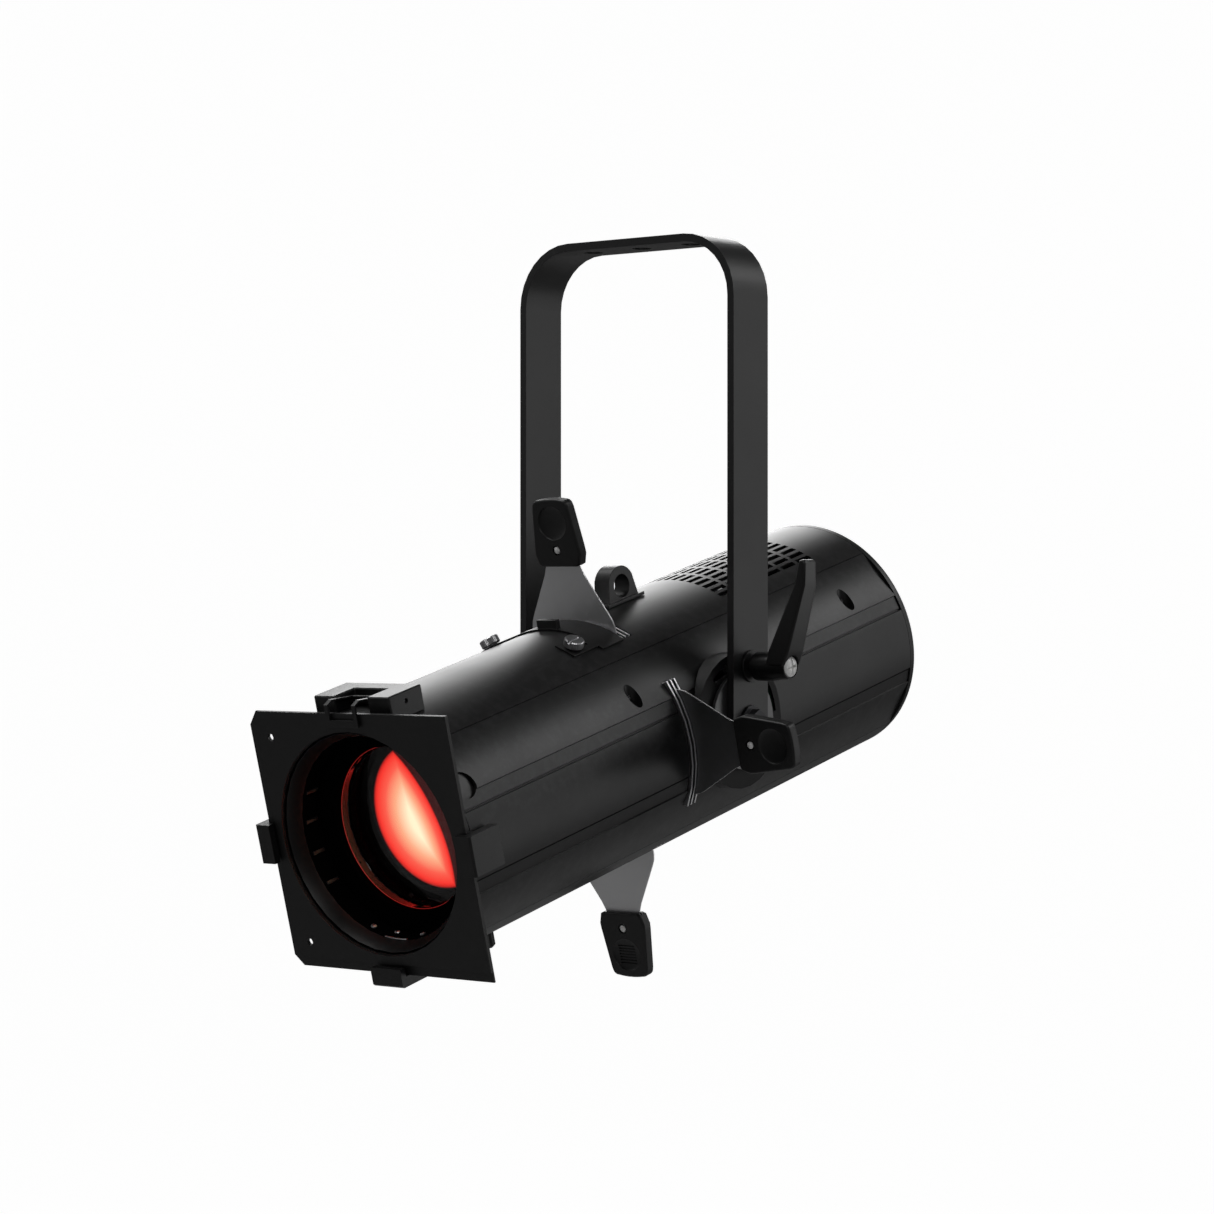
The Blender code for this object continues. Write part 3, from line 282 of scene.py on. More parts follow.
# %% Paint, dust and wear groups
def make_paint_group():
    """Orange-peel height, and a slow mottle for the gloss."""
    scales = [("Peel Scale", FLOAT, 900.0), ("Mottle Scale", FLOAT, 14.0)]
    group, given, end = new_group("paint_grain", scales, ["Height", "Mottle"])
    place = object_place(group)
    peel = add_node(group, "ShaderNodeTexNoise", Vector=place, Scale=given["Peel Scale"], Detail=2.0,
                    Roughness=0.55)
    mottle = add_node(group, "ShaderNodeTexNoise", Vector=place, Scale=given["Mottle Scale"], Detail=3.0,
                      Roughness=0.6)
    set_inputs(group, end, Height=peel.outputs["Fac"], Mottle=mottle.outputs["Fac"])
    return group


def make_dust_group():
    """Where fine dust settles: on faces that look up, broken into soft patches."""
    group, given, end = new_group("settled_dust", [("Amount", FLOAT, 0.2)], ["Dust"])
    shape = group.nodes.new("ShaderNodeNewGeometry")
    parts = add_node(group, "ShaderNodeSeparateXYZ", Vector=shape.outputs["Normal"])
    patches = add_node(group, "ShaderNodeTexNoise", Vector=object_place(group), Scale=55.0, Detail=6.0,
                       Roughness=0.7)
    facing = maths(group, "POWER", maths(group, "MAXIMUM", parts.outputs["Z"], 0.0), 2.0)
    broken = maths(group, "MULTIPLY", facing, patches.outputs["Fac"])
    set_inputs(group, end, Dust=maths(group, "MULTIPLY", broken, given["Amount"]))
    return group


def make_wear_group():
    """Thin bright handling marks on the sharpest edges, broken up by noise."""
    group, given, end = new_group("edge_wear", [("Amount", FLOAT, 0.3)], ["Wear"])
    shape = group.nodes.new("ShaderNodeNewGeometry")
    scratches = add_node(group, "ShaderNodeTexNoise", Vector=object_place(group), Scale=160.0, Detail=5.0,
                         Roughness=0.65)
    edge = add_node(group, "ShaderNodeMapRange", Value=shape.outputs["Pointiness"], From_Min=0.54,
                    From_Max=0.66)
    broken = add_node(group, "ShaderNodeMapRange", Value=scratches.outputs["Fac"], From_Min=0.45,
                      From_Max=0.65)
    mask = maths(group, "MULTIPLY", edge.outputs["Result"], broken.outputs["Result"])
    set_inputs(group, end, Wear=maths(group, "MULTIPLY", mask, given["Amount"]))
    return group


PAINT_GRAIN = make_paint_group()
SETTLED_DUST = make_dust_group()
EDGE_WEAR = make_wear_group()
print("node groups:", [group.name for group in bpy.data.node_groups])

# %% Brush and lathe groups
def make_brushed_group():
    """Streaks along one direction, for rolled or brushed sheet, as a height."""
    group, given, end = new_group("brushed_streaks", [("Position", VECTOR, None), ("Fineness", FLOAT, 1.0)],
                                  ["Height"])
    stretch = add_node(group, "ShaderNodeMapping", Vector=given["Position"], Scale=(2600.0, 2600.0, 30.0))
    streak = add_node(group, "ShaderNodeTexNoise", Vector=stretch.outputs["Vector"], Scale=given["Fineness"],
                      Detail=3.0, Roughness=0.6)
    set_inputs(group, end, Height=streak.outputs["Fac"])
    return group


def from_axis(tree, position, shift=(0.0, 0.0, 0.0)):
    """How far a position lies from the Z axis, after a shift."""
    flat = add_node(tree, "ShaderNodeMapping", Vector=position, Location=shift, Scale=(1.0, 1.0, 0.0))
    length = add_node(tree, "ShaderNodeVectorMath", operation="LENGTH", Vector=flat.outputs["Vector"])
    return length.outputs["Value"]


def make_lathe_group():
    """Rings round the Z axis of the position it is given, as a lathe leaves them."""
    group, given, end = new_group("lathe_rings", [("Position", VECTOR, None), ("Pitch Scale", FLOAT, 2400.0)],
                                  ["Height"])
    along = maths(group, "MULTIPLY", from_axis(group, given["Position"]), given["Pitch Scale"])
    rings = add_node(group, "ShaderNodeTexNoise", noise_dimensions="1D", W=along, Scale=1.0, Detail=2.0)
    set_inputs(group, end, Height=rings.outputs["Fac"])
    return group


BRUSHED = make_brushed_group()
LATHE = make_lathe_group()
print("node groups:", [group.name for group in bpy.data.node_groups])

# %% [markdown]
# ## Black finishes
# The yoke and covers are powder-coated steel, the front holder and brackets are textured castings, and
# the grips and knobs are moulded. All are black, and the eye tells them apart only by their gloss and
# grain. One function lays dust and wear over a base, and each finish gives it its own values.

# %% Black finishes
DUST_COLOUR = (0.16, 0.155, 0.15)
WORN_COLOUR = (0.05, 0.05, 0.052)
MOTTLE_DEPTH = 0.82


def new_material(name, **inputs):
    """A material, its tree and its Principled shader, with some of the shader's inputs set by name."""
    material = bpy.data.materials.new(name)
    material.use_nodes = True
    tree = material.node_tree
    shader = tree.nodes["Principled BSDF"]
    set_inputs(tree, shader, **inputs)
    return material, tree, shader


def place_group(tree, group, **settings):
    return add_node(tree, "ShaderNodeGroup", node_tree=group, **settings).outputs


def mix_colour(tree, factor, first, second):
    """A colour mix; each colour is a tuple or an output to link."""
    node = add_node(tree, "ShaderNodeMix", data_type="RGBA")
    tree.links.new(factor, node.inputs["Factor"])
    for socket, value in ((node.inputs[6], first), (node.inputs[7], second)):
        if isinstance(value, tuple):
            socket.default_value = (*value, 1)
        else:
            tree.links.new(value, socket)
    return node.outputs[2]


def scaled(tree, value, low, high):
    """Maps 0..1 onto a range."""
    return add_node(tree, "ShaderNodeMapRange", Value=value, To_Min=low, To_Max=high).outputs["Result"]


def black_finish(name, shade, gloss, grain, depth, dust=0.0, wear=0.0, specular=0.5):
    """A black surface: its red and green, its blue, its range of roughness, and its grain per metre."""
    material, tree, shader = new_material(name, Specular_IOR_Level=specular)
    marks = place_group(tree, PAINT_GRAIN, Peel_Scale=grain)
    settled = place_group(tree, SETTLED_DUST, Amount=dust)["Dust"]
    rubbed = place_group(tree, EDGE_WEAR, Amount=wear)["Wear"]
    colour = (shade[0], shade[0], shade[1])
    base = mix_colour(tree, marks["Mottle"], tuple(channel * MOTTLE_DEPTH for channel in colour), colour)
    base = mix_colour(tree, settled, base, DUST_COLOUR)
    base = mix_colour(tree, rubbed, base, WORN_COLOUR)
    bump = add_node(tree, "ShaderNodeBump", Strength=1.0, Distance=depth, Height=marks["Height"])
    set_inputs(tree, shader, Base_Color=base, Roughness=scaled(tree, marks["Mottle"], *gloss),
               Normal=bump.outputs["Normal"])
    return material


SATIN_PAINT = black_finish("satin_powder_coat", (0.0048, 0.0050), (0.35, 0.46), 1100, 0.00002, 0.03, 0.25)
YOKE_PAINT = black_finish("yoke_powder_coat", (0.0060, 0.0063), (0.34, 0.44), 900, 0.00003, 0.03, 0.35)
CASTING_PAINT = black_finish("textured_casting", (0.0038, 0.0040), (0.34, 0.46), 1500, 0.00004, 0.02, 0.25)
FRAME_PAINT = black_finish("gel_frame_paint", (0.0040, 0.0042), (0.38, 0.50), 1300, 0.00002, wear=0.4)
INNER_PAINT = black_finish("matt_inner_black", (0.0020, 0.0021), (0.60, 0.75), 800, 0.00002, specular=0.0)
MOULDED_BLACK = black_finish("moulded_nylon", (0.0032, 0.0034), (0.36, 0.50), 2200, 0.00003, 0.02, 0.15)
GLOSS_BLACK = black_finish("smooth_knob_black", (0.0036, 0.0038), (0.26, 0.34), 600, 0.00001, wear=0.1)
BRACKET_PAINT = black_finish("bracket_paint", (0.0036, 0.0038), (0.50, 0.62), 1500, 0.00003, 0.02,
                             specular=0.25)
print("black finishes: 8")

# %% [markdown]
# ## Bare metals
# The shutter blades are stainless sheet, dulled by heat; the right and left blades are given darker
# colours than the top and bottom ones, as painted shade on the same steel. Screws and nuts are zinc
# plated, and the friction discs and heat sink are bare aluminium. Streaks run along each blade, so its
# finish is turned with the blade by a Mapping node.

# %% Bare metals
STREAK_DEPTH = 0.00002


def turned_place(tree, matrix):
    """The place on the object in the axes of a matrix."""
    inverse = matrix.inverted()
    return add_node(tree, "ShaderNodeMapping", Vector=object_place(tree), Location=inverse.translation,
                    Rotation=inverse.to_euler()).outputs["Vector"]


def metal_finish(name, colour, gloss, axes=None, turned=False, tone=0.12, metallic=1.0):
    """A metal with streaks along its Z, or with lathe rings round it, in the given axes."""
    material, tree, shader = new_material(name, Metallic=metallic)
    marks = place_group(tree, LATHE if turned else BRUSHED,
                        Position=turned_place(tree, axes or Matrix.Identity(4)))
    mottle = place_group(tree, PAINT_GRAIN, Mottle_Scale=60.0)["Mottle"]
    darker = tuple(channel * (1 - tone) for channel in colour)
    bump = add_node(tree, "ShaderNodeBump", Distance=STREAK_DEPTH, Height=marks["Height"])
    set_inputs(tree, shader, Base_Color=mix_colour(tree, mottle, darker, colour),
               Roughness=scaled(tree, mottle, *gloss), Normal=bump.outputs["Normal"])
    return material


def shutter_axes(angle):
    """The axes of one shutter: X across the blade, Y out of the barrel, Z along it, forwards."""
    return BARREL @ Matrix.Rotation(math.radians(angle), 4, "Y") @ QUARTER_X


SHUTTER_ANGLES = {"top": 0, "right": 90, "bottom": 180, "left": 270}
TURN_TO_Y = Matrix.Rotation(math.radians(-90), 4, "X")
ACROSS_TILT = seat_on_axis(PIVOT, (1, 0, 0))
# Base colour of each blade's steel: the right and left blades are darker than the top and bottom ones, as painted
# shade.
BLADE_LIT_AND_SHADED_TONES = {"top": (0.78, 0.78, 0.79), "right": (0.16, 0.16, 0.165), "bottom": (0.78, 0.78, 0.79),
               "left": (0.30, 0.30, 0.305)}
BLADE_STEEL = {
    side: metal_finish(f"blade_steel_{side}", BLADE_LIT_AND_SHADED_TONES[side], (0.38, 0.52),
                       shutter_axes(angle) @ TURN_TO_Y)
    for side, angle in SHUTTER_ANGLES.items()
}
GATE_STEEL = metal_finish("gate_plate_steel", (0.42, 0.42, 0.43), (0.28, 0.40))
ZINC_PLATE = metal_finish("zinc_plate", (0.62, 0.62, 0.63), (0.24, 0.36), tone=0.2)
BRIGHT_ZINC = metal_finish("bright_zinc", (0.95, 0.95, 0.94), (0.42, 0.55), metallic=0.4)
ALUMINIUM = metal_finish("turned_aluminium", (0.60, 0.60, 0.61), (0.36, 0.48), ACROSS_TILT, True)
DISC_METAL = metal_finish("dull_friction_disc", (0.17, 0.17, 0.172), (0.40, 0.52), ACROSS_TILT, True)
POLISHED = metal_finish("polished_reflector", (0.88, 0.88, 0.88), (0.08, 0.14), LENGTHWISE, True)
# Bright metal for the sheared edges of blades and gate plates: part bare steel, part painted highlight.
SHEARED_EDGE_AND_HIGHLIGHT = metal_finish("sheared_edge_and_highlight", (0.90, 0.90, 0.91), (0.34, 0.46))
DARK_STEEL = metal_finish("blackened_steel", (0.05, 0.05, 0.052), (0.34, 0.46))
print("metals:", len(BLADE_STEEL) + 8)

# %% [markdown]
# ## Glass and light
# The lenses are real glass. Behind the front lens hangs the bright image of the gate, white-hot in the
# middle and pure red at its rim. It is a surface that emits. One of its two round edges belongs to the
# lens and the other to the gate, which the lens shows off to one side when it is looked at askew.

# %% Glass and light
LENS_GLASS = new_material("coated_lens_glass", Base_Color=(0.96, 0.97, 0.98, 1), Roughness=0.0,
                          Transmission_Weight=1.0, IOR=1.06, Coat_Weight=0.5, Coat_Roughness=0.02)[0]
GLOW_RADIUS = 0.045
GLOW_STEPS = ((0.00, (1.10, 1.050, 0.800)), (0.40, (1.10, 0.980, 0.660)), (0.62, (1.08, 0.460, 0.260)),
              (0.80, (1.06, 0.120, 0.075)), (0.93, (1.04, 0.038, 0.026)), (0.97, (0.75, 0.020, 0.014)),
              (1.00, (0.035, 0.003, 0.003)))
GLOW_EDGES = (((0.0, 0.0), 0.0, GLOW_RADIUS), ((-0.0897, -0.0334), 0.0700, 0.0987))
# Red that the thin rings give off: a painted reflection of the gate's light, not a lamp.
RIM_REFLECTION_RED = (0.20, 0.006, 0.005)


def make_glow(name, steps, edges):
    """Light coloured by how near a point lies to the nearest of several round edges.

    Each edge has a centre across the barrel's axis, the radius where it starts to tell, and its own radius.
    """
    material, tree, shader = new_material(name, Base_Color=(0.02, 0.004, 0.004, 1), Roughness=0.3,
                                          Emission_Strength=1.0)
    place = turned_place(tree, LENGTHWISE)
    nearest = 0.0
    for (across, up), start, radius in edges:
        reach = from_axis(tree, place, (-across, -up, 0.0))
        spread = add_node(tree, "ShaderNodeMapRange", Value=reach, From_Min=start, From_Max=radius)
        nearest = maths(tree, "MAXIMUM", spread.outputs["Result"], nearest)
    ramp = tree.nodes.new("ShaderNodeValToRGB")
    while len(ramp.color_ramp.elements) < len(steps):
        ramp.color_ramp.elements.new(0.5)
    for element, (position, colour) in zip(ramp.color_ramp.elements, steps):
        element.position = position
        element.color = (*colour, 1)
    tree.links.new(nearest, ramp.inputs["Fac"])
    tree.links.new(ramp.outputs["Color"], shader.inputs["Emission Color"])
    return material


GATE_GLOW = make_glow("gate_image", GLOW_STEPS, GLOW_EDGES)
RIM_PAINTED_REFLECTION = make_glow("rim_painted_reflection", ((0.0, RIM_REFLECTION_RED), (1.0, RIM_REFLECTION_RED)), (((0.0, 0.0), 0.0, 0.1),))
print("glass and two glows made")

# %% Display and circuit board
def patterned(name, texture, roughness, coat=0.0, **settings):
    """A finish coloured by one procedural texture."""
    material, tree, shader = new_material(name, Roughness=roughness, Coat_Weight=coat)
    pattern = add_node(tree, texture, Vector=object_place(tree), **settings)
    set_inputs(tree, shader, Base_Color=pattern.outputs["Color"])
    return material


DISPLAY_GLASS = patterned("display_glass", "ShaderNodeTexChecker", 0.08, 0.6, Scale=900.0,
                          Color1=(0.004, 0.006, 0.012, 1), Color2=(0.006, 0.009, 0.018, 1))
BOARD_LACQUER = patterned("circuit_lacquer", "ShaderNodeTexBrick", 0.35, Scale=120.0,
                          Color1=(0.012, 0.085, 0.035, 1), Color2=(0.010, 0.070, 0.030, 1),
                          Mortar=(0.030, 0.160, 0.070, 1))
print("display and board finishes made")

# %% [markdown]
# ## Basic moves
# Round pieces are profiles spun about their own axis: the spin closes on itself with use_merge, and the
# points that lie on the axis are welded at the end. Slots, recesses and wells are cut with exact
# Booleans between hidden helper solids, which are removed as soon as the result has been copied.

# %% A lathe for profiles
ROUND_STEPS = 160


def spun(profile, steps, closed=False):
    """A profile of (radius, height) points spun about Z, as a bmesh."""
    cage = bmesh.new()
    points = [cage.verts.new((radius, 0, height)) for radius, height in profile]
    pairs = list(zip(points, points[1:]))
    if closed:
        pairs.append((points[-1], points[0]))
    edges = [cage.edges.new(pair) for pair in pairs if pair[0].co.x + pair[1].co.x > 0]
    bmesh.ops.spin(cage, geom=points + edges, cent=(0, 0, 0), axis=(0, 0, 1), angle=2 * math.pi, steps=steps,
                   use_merge=True, use_duplicate=False)
    bmesh.ops.remove_doubles(cage, verts=cage.verts, dist=1e-6)
    return cage


def arc_points(radius, start, end, steps, centre=(0.0, 0.0)):
    """Points on an arc, with angles in degrees."""
    turns = [math.radians(start + (end - start) * index / steps) for index in range(steps + 1)]
    return [(centre[0] + radius * math.cos(turn), centre[1] + radius * math.sin(turn)) for turn in turns]

# %% Cutting with solids
def solid(cage, name="cutter"):
    """A hidden helper object from a bmesh, for cutting."""
    bmesh.ops.recalc_face_normals(cage, faces=cage.faces)
    mesh = bpy.data.meshes.new(name)
    cage.to_mesh(mesh)
    cage.free()
    return linked(name, mesh)


def carved(cage, cutters, joined=()):
    """The bmesh after exact cuts and joins, as a new bmesh; the helpers are removed."""
    body = solid(cage, "blank")
    steps = [(other, "UNION") for other in joined] + [(other, "DIFFERENCE") for other in cutters]
    for helper, operation in steps:
        boolean = body.modifiers.new("carve", "BOOLEAN")
        boolean.operation = operation
        boolean.object = helper
    graph = bpy.context.evaluated_depsgraph_get()
    mesh = bpy.data.meshes.new_from_object(body.evaluated_get(graph))
    result = bmesh.new()
    result.from_mesh(mesh)
    bmesh.ops.remove_doubles(result, verts=result.verts, dist=1e-6)
    for helper in [body, *cutters, *joined]:
        bpy.data.objects.remove(helper, do_unlink=True)
    bpy.data.meshes.remove(mesh)
    return result


def box_cage(low, high, place=None):
    """A box between two corners."""
    cage = bmesh.new()
    bmesh.ops.create_cube(cage, size=1.0)
    bmesh.ops.scale(cage, verts=cage.verts, vec=Vector(high) - Vector(low))
    bmesh.ops.translate(cage, verts=cage.verts, vec=(Vector(low) + Vector(high)) / 2)
    if place is not None:
        bmesh.ops.transform(cage, verts=cage.verts, matrix=place)
    return cage


def soften_edges(cage, radius, segments, angle):
    """Rounds every edge that turns by more than an angle in degrees."""
    sharp = [edge for edge in cage.edges
             if len(edge.link_faces) == 2 and edge.calc_face_angle(0) > math.radians(angle)]
    bmesh.ops.bevel(cage, geom=sharp, offset=radius, segments=segments, profile=0.5, affect="EDGES",
                    clamp_overlap=True, material=-1)


def close_faces(cage, walls):
    """Removes the walls of holes and fills the sheet's faces again."""
    bmesh.ops.delete(cage, geom=walls, context="FACES")
    bmesh.ops.holes_fill(cage, edges=[edge for edge in cage.edges if len(edge.link_faces) == 1], sides=0)


print("spins, cuts and fills ready")

# %% [markdown]
# ## Two ways to finish a piece
# Sheet metal and castings already have their true outline in the frame. A copy of each is welded, its
# flat faces are made whole, and its edges get a small radius: a sharp edge shows no highlight, and
# nothing gives a computer model away sooner. Round covers also get exact round normals, so that their
# long reflections run without a ripple. Pieces with finer forms are modelled anew below.

# %% Publishing a piece
def publish(cage, name, body, material, smooth=30, place=None, outward=True):
    """Turns a bmesh into a finished piece that rides on a body."""
    if place is not None:
        bmesh.ops.transform(cage, verts=cage.verts, matrix=place)
    if outward:
        bmesh.ops.recalc_face_normals(cage, faces=cage.faces)
    mesh = bpy.data.meshes.new(name)
    cage.to_mesh(mesh)
    cage.free()
    mesh.materials.append(material)
    mesh.shade_smooth()
    mesh.set_sharp_from_angle(angle=math.radians(smooth))
    piece = linked(name, mesh)
    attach(piece, body)
    return piece


def stand_in(node, suffix, cage, material, smooth, place=None, outward=True):
    """A finished piece that takes the place of a CAD node, on the same body."""
    piece = publish(cage, f"{node}_{suffix}", BODY_OF[node], material, smooth, place, outward)
    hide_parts(node)
    return piece


def even_shading(piece):
    """Lets the large faces decide the normals, so that a rounded edge leaves the flats beside it flat."""
    weighted = piece.modifiers.new("even_shading", "WEIGHTED_NORMAL")
    weighted.weight = 100
    weighted.keep_sharp = True
    graph = bpy.context.evaluated_depsgraph_get()
    mesh = bpy.data.meshes.new_from_object(piece.evaluated_get(graph))
    piece.modifiers.clear()
    old = piece.data
    piece.data = mesh
    bpy.data.meshes.remove(old)
    mesh.name = piece.name
    return piece


def softened(node, material, radius, segments=2, smooth=35, edge_angle=28, change=None):
    """A finer copy of a CAD node that stands for it: welded, with whole flat faces and rounded edges."""
    cage = bmesh.new()
    cage.from_mesh(frame["nodes"][node].data)
    bmesh.ops.remove_doubles(cage, verts=cage.verts, dist=2e-6)
    if change is not None:
        cage = change(cage)
    bmesh.ops.dissolve_limit(cage, angle_limit=math.radians(0.4), verts=cage.verts, edges=cage.edges)
    if radius:
        soften_edges(cage, radius, segments, edge_angle)
    return even_shading(stand_in(node, "finished", cage, material, smooth, outward=False))


print("publish and softened ready")

# %% [markdown]
# ## Sheet and cast pieces
# The yoke is bent bar, the brackets, holder and eye are castings, and the colour frame is folded sheet
# with two holes by its left edge. Each could be drawn again, but its copy with rounded edges is already
# right. The front holder's bore is flat black, so that nothing shines beside the lens.

# %% Sheet and cast pieces
FRAME_BORE = 0.080
FRAME_HALF = 0.077
BLACK_BORE = 0.0630
SOFTENED = {
    "yoke_strap": (YOKE_PAINT, 0.0007, 3), "clamp_washer": (SATIN_PAINT, 0.0002, 2),
    "pivot_bolt_right": (DARK_STEEL, 0.0003, 2), "pivot_bolt_left": (DARK_STEEL, 0.0003, 2),
    "clamp_bolt": (ZINC_PLATE, 0.0002, 1),
    "tilt_bracket_right": (BRACKET_PAINT, 0.0006, 2), "tilt_bracket_left": (BRACKET_PAINT, 0.0006, 2),
    "friction_disc_right": (DISC_METAL, 0.0003, 2), "friction_disc_left": (DISC_METAL, 0.0003, 2),
    "gobo_cover": (SATIN_PAINT, 0.00025, 2), "safety_eye": (CASTING_PAINT, 0.0011, 3),
    "latch_housing": (CASTING_PAINT, 0.0006, 2), "latch_clip": (SATIN_PAINT, 0.00025, 2),
    "latch_pin": (ZINC_PLATE, 0.0002, 2), "gel_frame": (FRAME_PAINT, 0.0002, 2),
    "front_holder": (CASTING_PAINT, 0.0004, 2), "lens_tube": (INNER_PAINT, 0.0002, 1),
    "zoom_carriage": (INNER_PAINT, 0.0003, 2), "focus_carriage": (INNER_PAINT, 0.0003, 2),
    "condenser_holder": (INNER_PAINT, 0.0003, 1), "fan_frame": (MOULDED_BLACK, 0.0006, 2),
    "fan_rotor": (MOULDED_BLACK, 0.0003, 1), "heat_sink": (ALUMINIUM, 0.0002, 1),
    "rear_panel": (SATIN_PAINT, 0.0002, 2), "led_board": (BOARD_LACQUER, 0.0001, 1),
}


def close_frame_holes(cage):
    """The colour frame keeps the two holes on its left side, and those on its right are filled."""
    cage.normal_update()
    walls = []
    for face in cage.faces:
        middle = INTO_BARREL @ face.calc_center_median()
        on_plate = middle.x > 0 and max(abs(middle.x), abs(middle.z)) < FRAME_HALF
        if on_plate and math.hypot(middle.x, middle.z) > FRAME_BORE and abs(face.normal.dot(FORWARD)) < 0.5:
            walls.append(face)
    close_faces(cage, walls)
    return cage


def second_finish(piece, material, belongs):
    """Gives a second material to the faces that a test picks."""
    piece.data.materials.append(material)
    for polygon in piece.data.polygons:
        if belongs(polygon):
            polygon.material_index = 1


def in_bore(polygon):
    middle = INTO_BARREL @ polygon.center
    return math.hypot(middle.x, middle.z) < BLACK_BORE


CHANGES = {"gel_frame": close_frame_holes}
FINISHED = {node: softened(node, *finish, change=CHANGES.get(node)) for node, finish in SOFTENED.items()}
second_finish(FINISHED["front_holder"], INNER_PAINT, in_bore)
print("sheet and cast pieces:", len(FINISHED))

# %% [markdown]
# ## Screw wells in the side panels
# A screw stands upright in each of four wells, sunk in the upper side flats, so their mouths are long
# ovals. They could be drawn as ovals. They are cut by an upright cylinder instead, through a boss
# behind the panel, and the lower flats are filled.

# %% Screw wells
WELL_STATIONS = (0.081, -0.146)
WELL_ANGLE = 57.0
PLUGGED_ANGLE = 123.0
WELL_RIM = 0.0042
WELL_RADIUS = 0.0050
WELL_FLOOR = 0.0712
BOSS_OUTSIDE, BOSS_INSIDE, BOSS_HALF = 0.0757, 0.0698, 0.0080


def long_rod(radius):
    """A solid along the barrel's axis, longer than the barrel."""
    cage = spun([(0, -0.3), (radius, -0.3), (radius, 0.3), (0, 0.3)], ROUND_STEPS)
    bmesh.ops.transform(cage, verts=cage.verts, matrix=Matrix.Rotation(math.radians(90), 4, "X"))
    return solid(cage)


def close_well(cage, angle, station):
    """Removes the round wall of a well and fills the panel's two faces again, in the barrel's axes."""
    turn = math.radians(angle)
    outward = Vector((math.sin(turn), 0, math.cos(turn)))
    origin = Vector((0, -station, 0))

    def on_rim(place):
        aside = place - origin
        aside = aside - outward * aside.dot(outward)
        return place.dot(outward) > 0.05 and abs(aside.length - WELL_RIM) < 0.00008

    rim = {vert for vert in cage.verts if on_rim(vert.co)}
    close_faces(cage, [face for face in cage.faces if all(vert in rim for vert in face.verts)])


def well_block(angle, station):
    """The boss behind the panel that a deep well is sunk in."""
    cage = bmesh.new()
    corners = [math.radians(angle + spread) for spread in range(-11, 12, 2)]
    arc = [(math.sin(turn) * BOSS_OUTSIDE, math.cos(turn) * BOSS_OUTSIDE) for turn in corners]
    arc += [(math.sin(turn) * BOSS_INSIDE, math.cos(turn) * BOSS_INSIDE) for turn in reversed(corners)]
    face = cage.faces.new([cage.verts.new((x, -station - BOSS_HALF, z)) for x, z in arc])
    pulled = bmesh.ops.extrude_face_region(cage, geom=[face])["geom"]
    bmesh.ops.translate(cage, verts=[item for item in pulled if isinstance(item, bmesh.types.BMVert)],
                        vec=(0, 2 * BOSS_HALF, 0))
    return solid(cage)


def rework_wells(side):
    """The upper wells are sunk upright, so they open as long ovals, and the lower panel face stays whole."""
    def change(cage):
        bmesh.ops.transform(cage, verts=cage.verts, matrix=INTO_BARREL)
        for station in WELL_STATIONS:
            for angle in (WELL_ANGLE, PLUGGED_ANGLE):
                close_well(cage, side * angle, station)
        blocks, sinks = [], []
        for station in WELL_STATIONS:
            blocks.append(well_block(side * WELL_ANGLE, station))
            shaft = spun([(0, 0.024), (WELL_RADIUS, 0.024), (WELL_RADIUS, 0.060), (0, 0.060)], 48)
            across = side * BARREL_RADIUS * math.sin(math.radians(WELL_ANGLE))
            bmesh.ops.translate(shaft, verts=shaft.verts, vec=(across, -station, 0))
            sinks.append(solid(carved(shaft, [long_rod(WELL_FLOOR)])))
        cage = carved(cage, sinks, blocks)
        bmesh.ops.transform(cage, verts=cage.verts, matrix=BARREL)
        return cage
    return change


print("wells at stations", WELL_STATIONS)

# %% [markdown]
# ## Vent grid in the top cover
# The light engine's heat leaves through a grid of narrow slots, cut through the round cover. A grid
# could be faked in the paint. Real slots let the light and the eye through, so the coarse ones of the
# CAD cover are filled and a finer grid is cut: one box per slot, turned round the axis, and one Boolean
# for them all.

# %% Vent grid
VENT_ENDS = (-0.0480, -0.1510)
VENT_ROWS = 6
VENT_COLUMNS = 14
VENT_SPREAD = 29.9
VENT_SLOT_WIDTH = 0.0036
VENT_BRIDGE = 0.0032
VENT_HALF = 0.046


def regrid_vent(cage):
    """Closes the coarse vent slots of the top cover and cuts a finer grid with narrow bridges."""
    bmesh.ops.transform(cage, verts=cage.verts, matrix=INTO_BARREL)
    cage.normal_update()
    walls = []
    for face in cage.faces:
        middle = face.calc_center_median()
        outward = Vector((middle.x, 0, middle.z)).normalized()
        inside = VENT_ENDS[1] - 0.001 < -middle.y < VENT_ENDS[0] + 0.001 and abs(middle.x) < VENT_HALF
        if inside and abs(face.normal.dot(outward)) < 0.5:
            walls.append(face)
    close_faces(cage, walls)
    grid = bmesh.new()
    pitch = (VENT_ENDS[0] - VENT_ENDS[1]) / VENT_ROWS
    half = (pitch - VENT_BRIDGE) / 2
    wide = VENT_SLOT_WIDTH / 2
    for column in range(VENT_COLUMNS):
        turn = math.radians(-VENT_SPREAD + 2 * VENT_SPREAD * column / (VENT_COLUMNS - 1))
        seat = Matrix.Rotation(turn, 4, "Y") @ Matrix.Translation((0, 0, BARREL_RADIUS))
        for row in range(VENT_ROWS):
            middle = VENT_ENDS[1] + (row + 0.5) * pitch
            block = box_cage((-wide, -middle - half, -0.008), (wide, half - middle, 0.008), seat)
            part = bpy.data.meshes.new("vent_slot")
            block.to_mesh(part)
            block.free()
            grid.from_mesh(part)
            bpy.data.meshes.remove(part)
    cage = carved(cage, [solid(grid)])
    bmesh.ops.transform(cage, verts=cage.verts, matrix=BARREL)
    return cage


print("vent slots:", VENT_ROWS * VENT_COLUMNS)

# %% [markdown]
# ## Covers and side panels
# Two round covers and two folded side panels close the barrel. Their long reflections would ripple at
# each facet, so the round faces get the cylinder's own normals. The wide upper flats are pressed sheet
# and look a little crowned.

# %% Covers and side panels
ROUNDED_FLATS = (40.0, 67.0)
ROUND_TOLERANCE = 0.00012


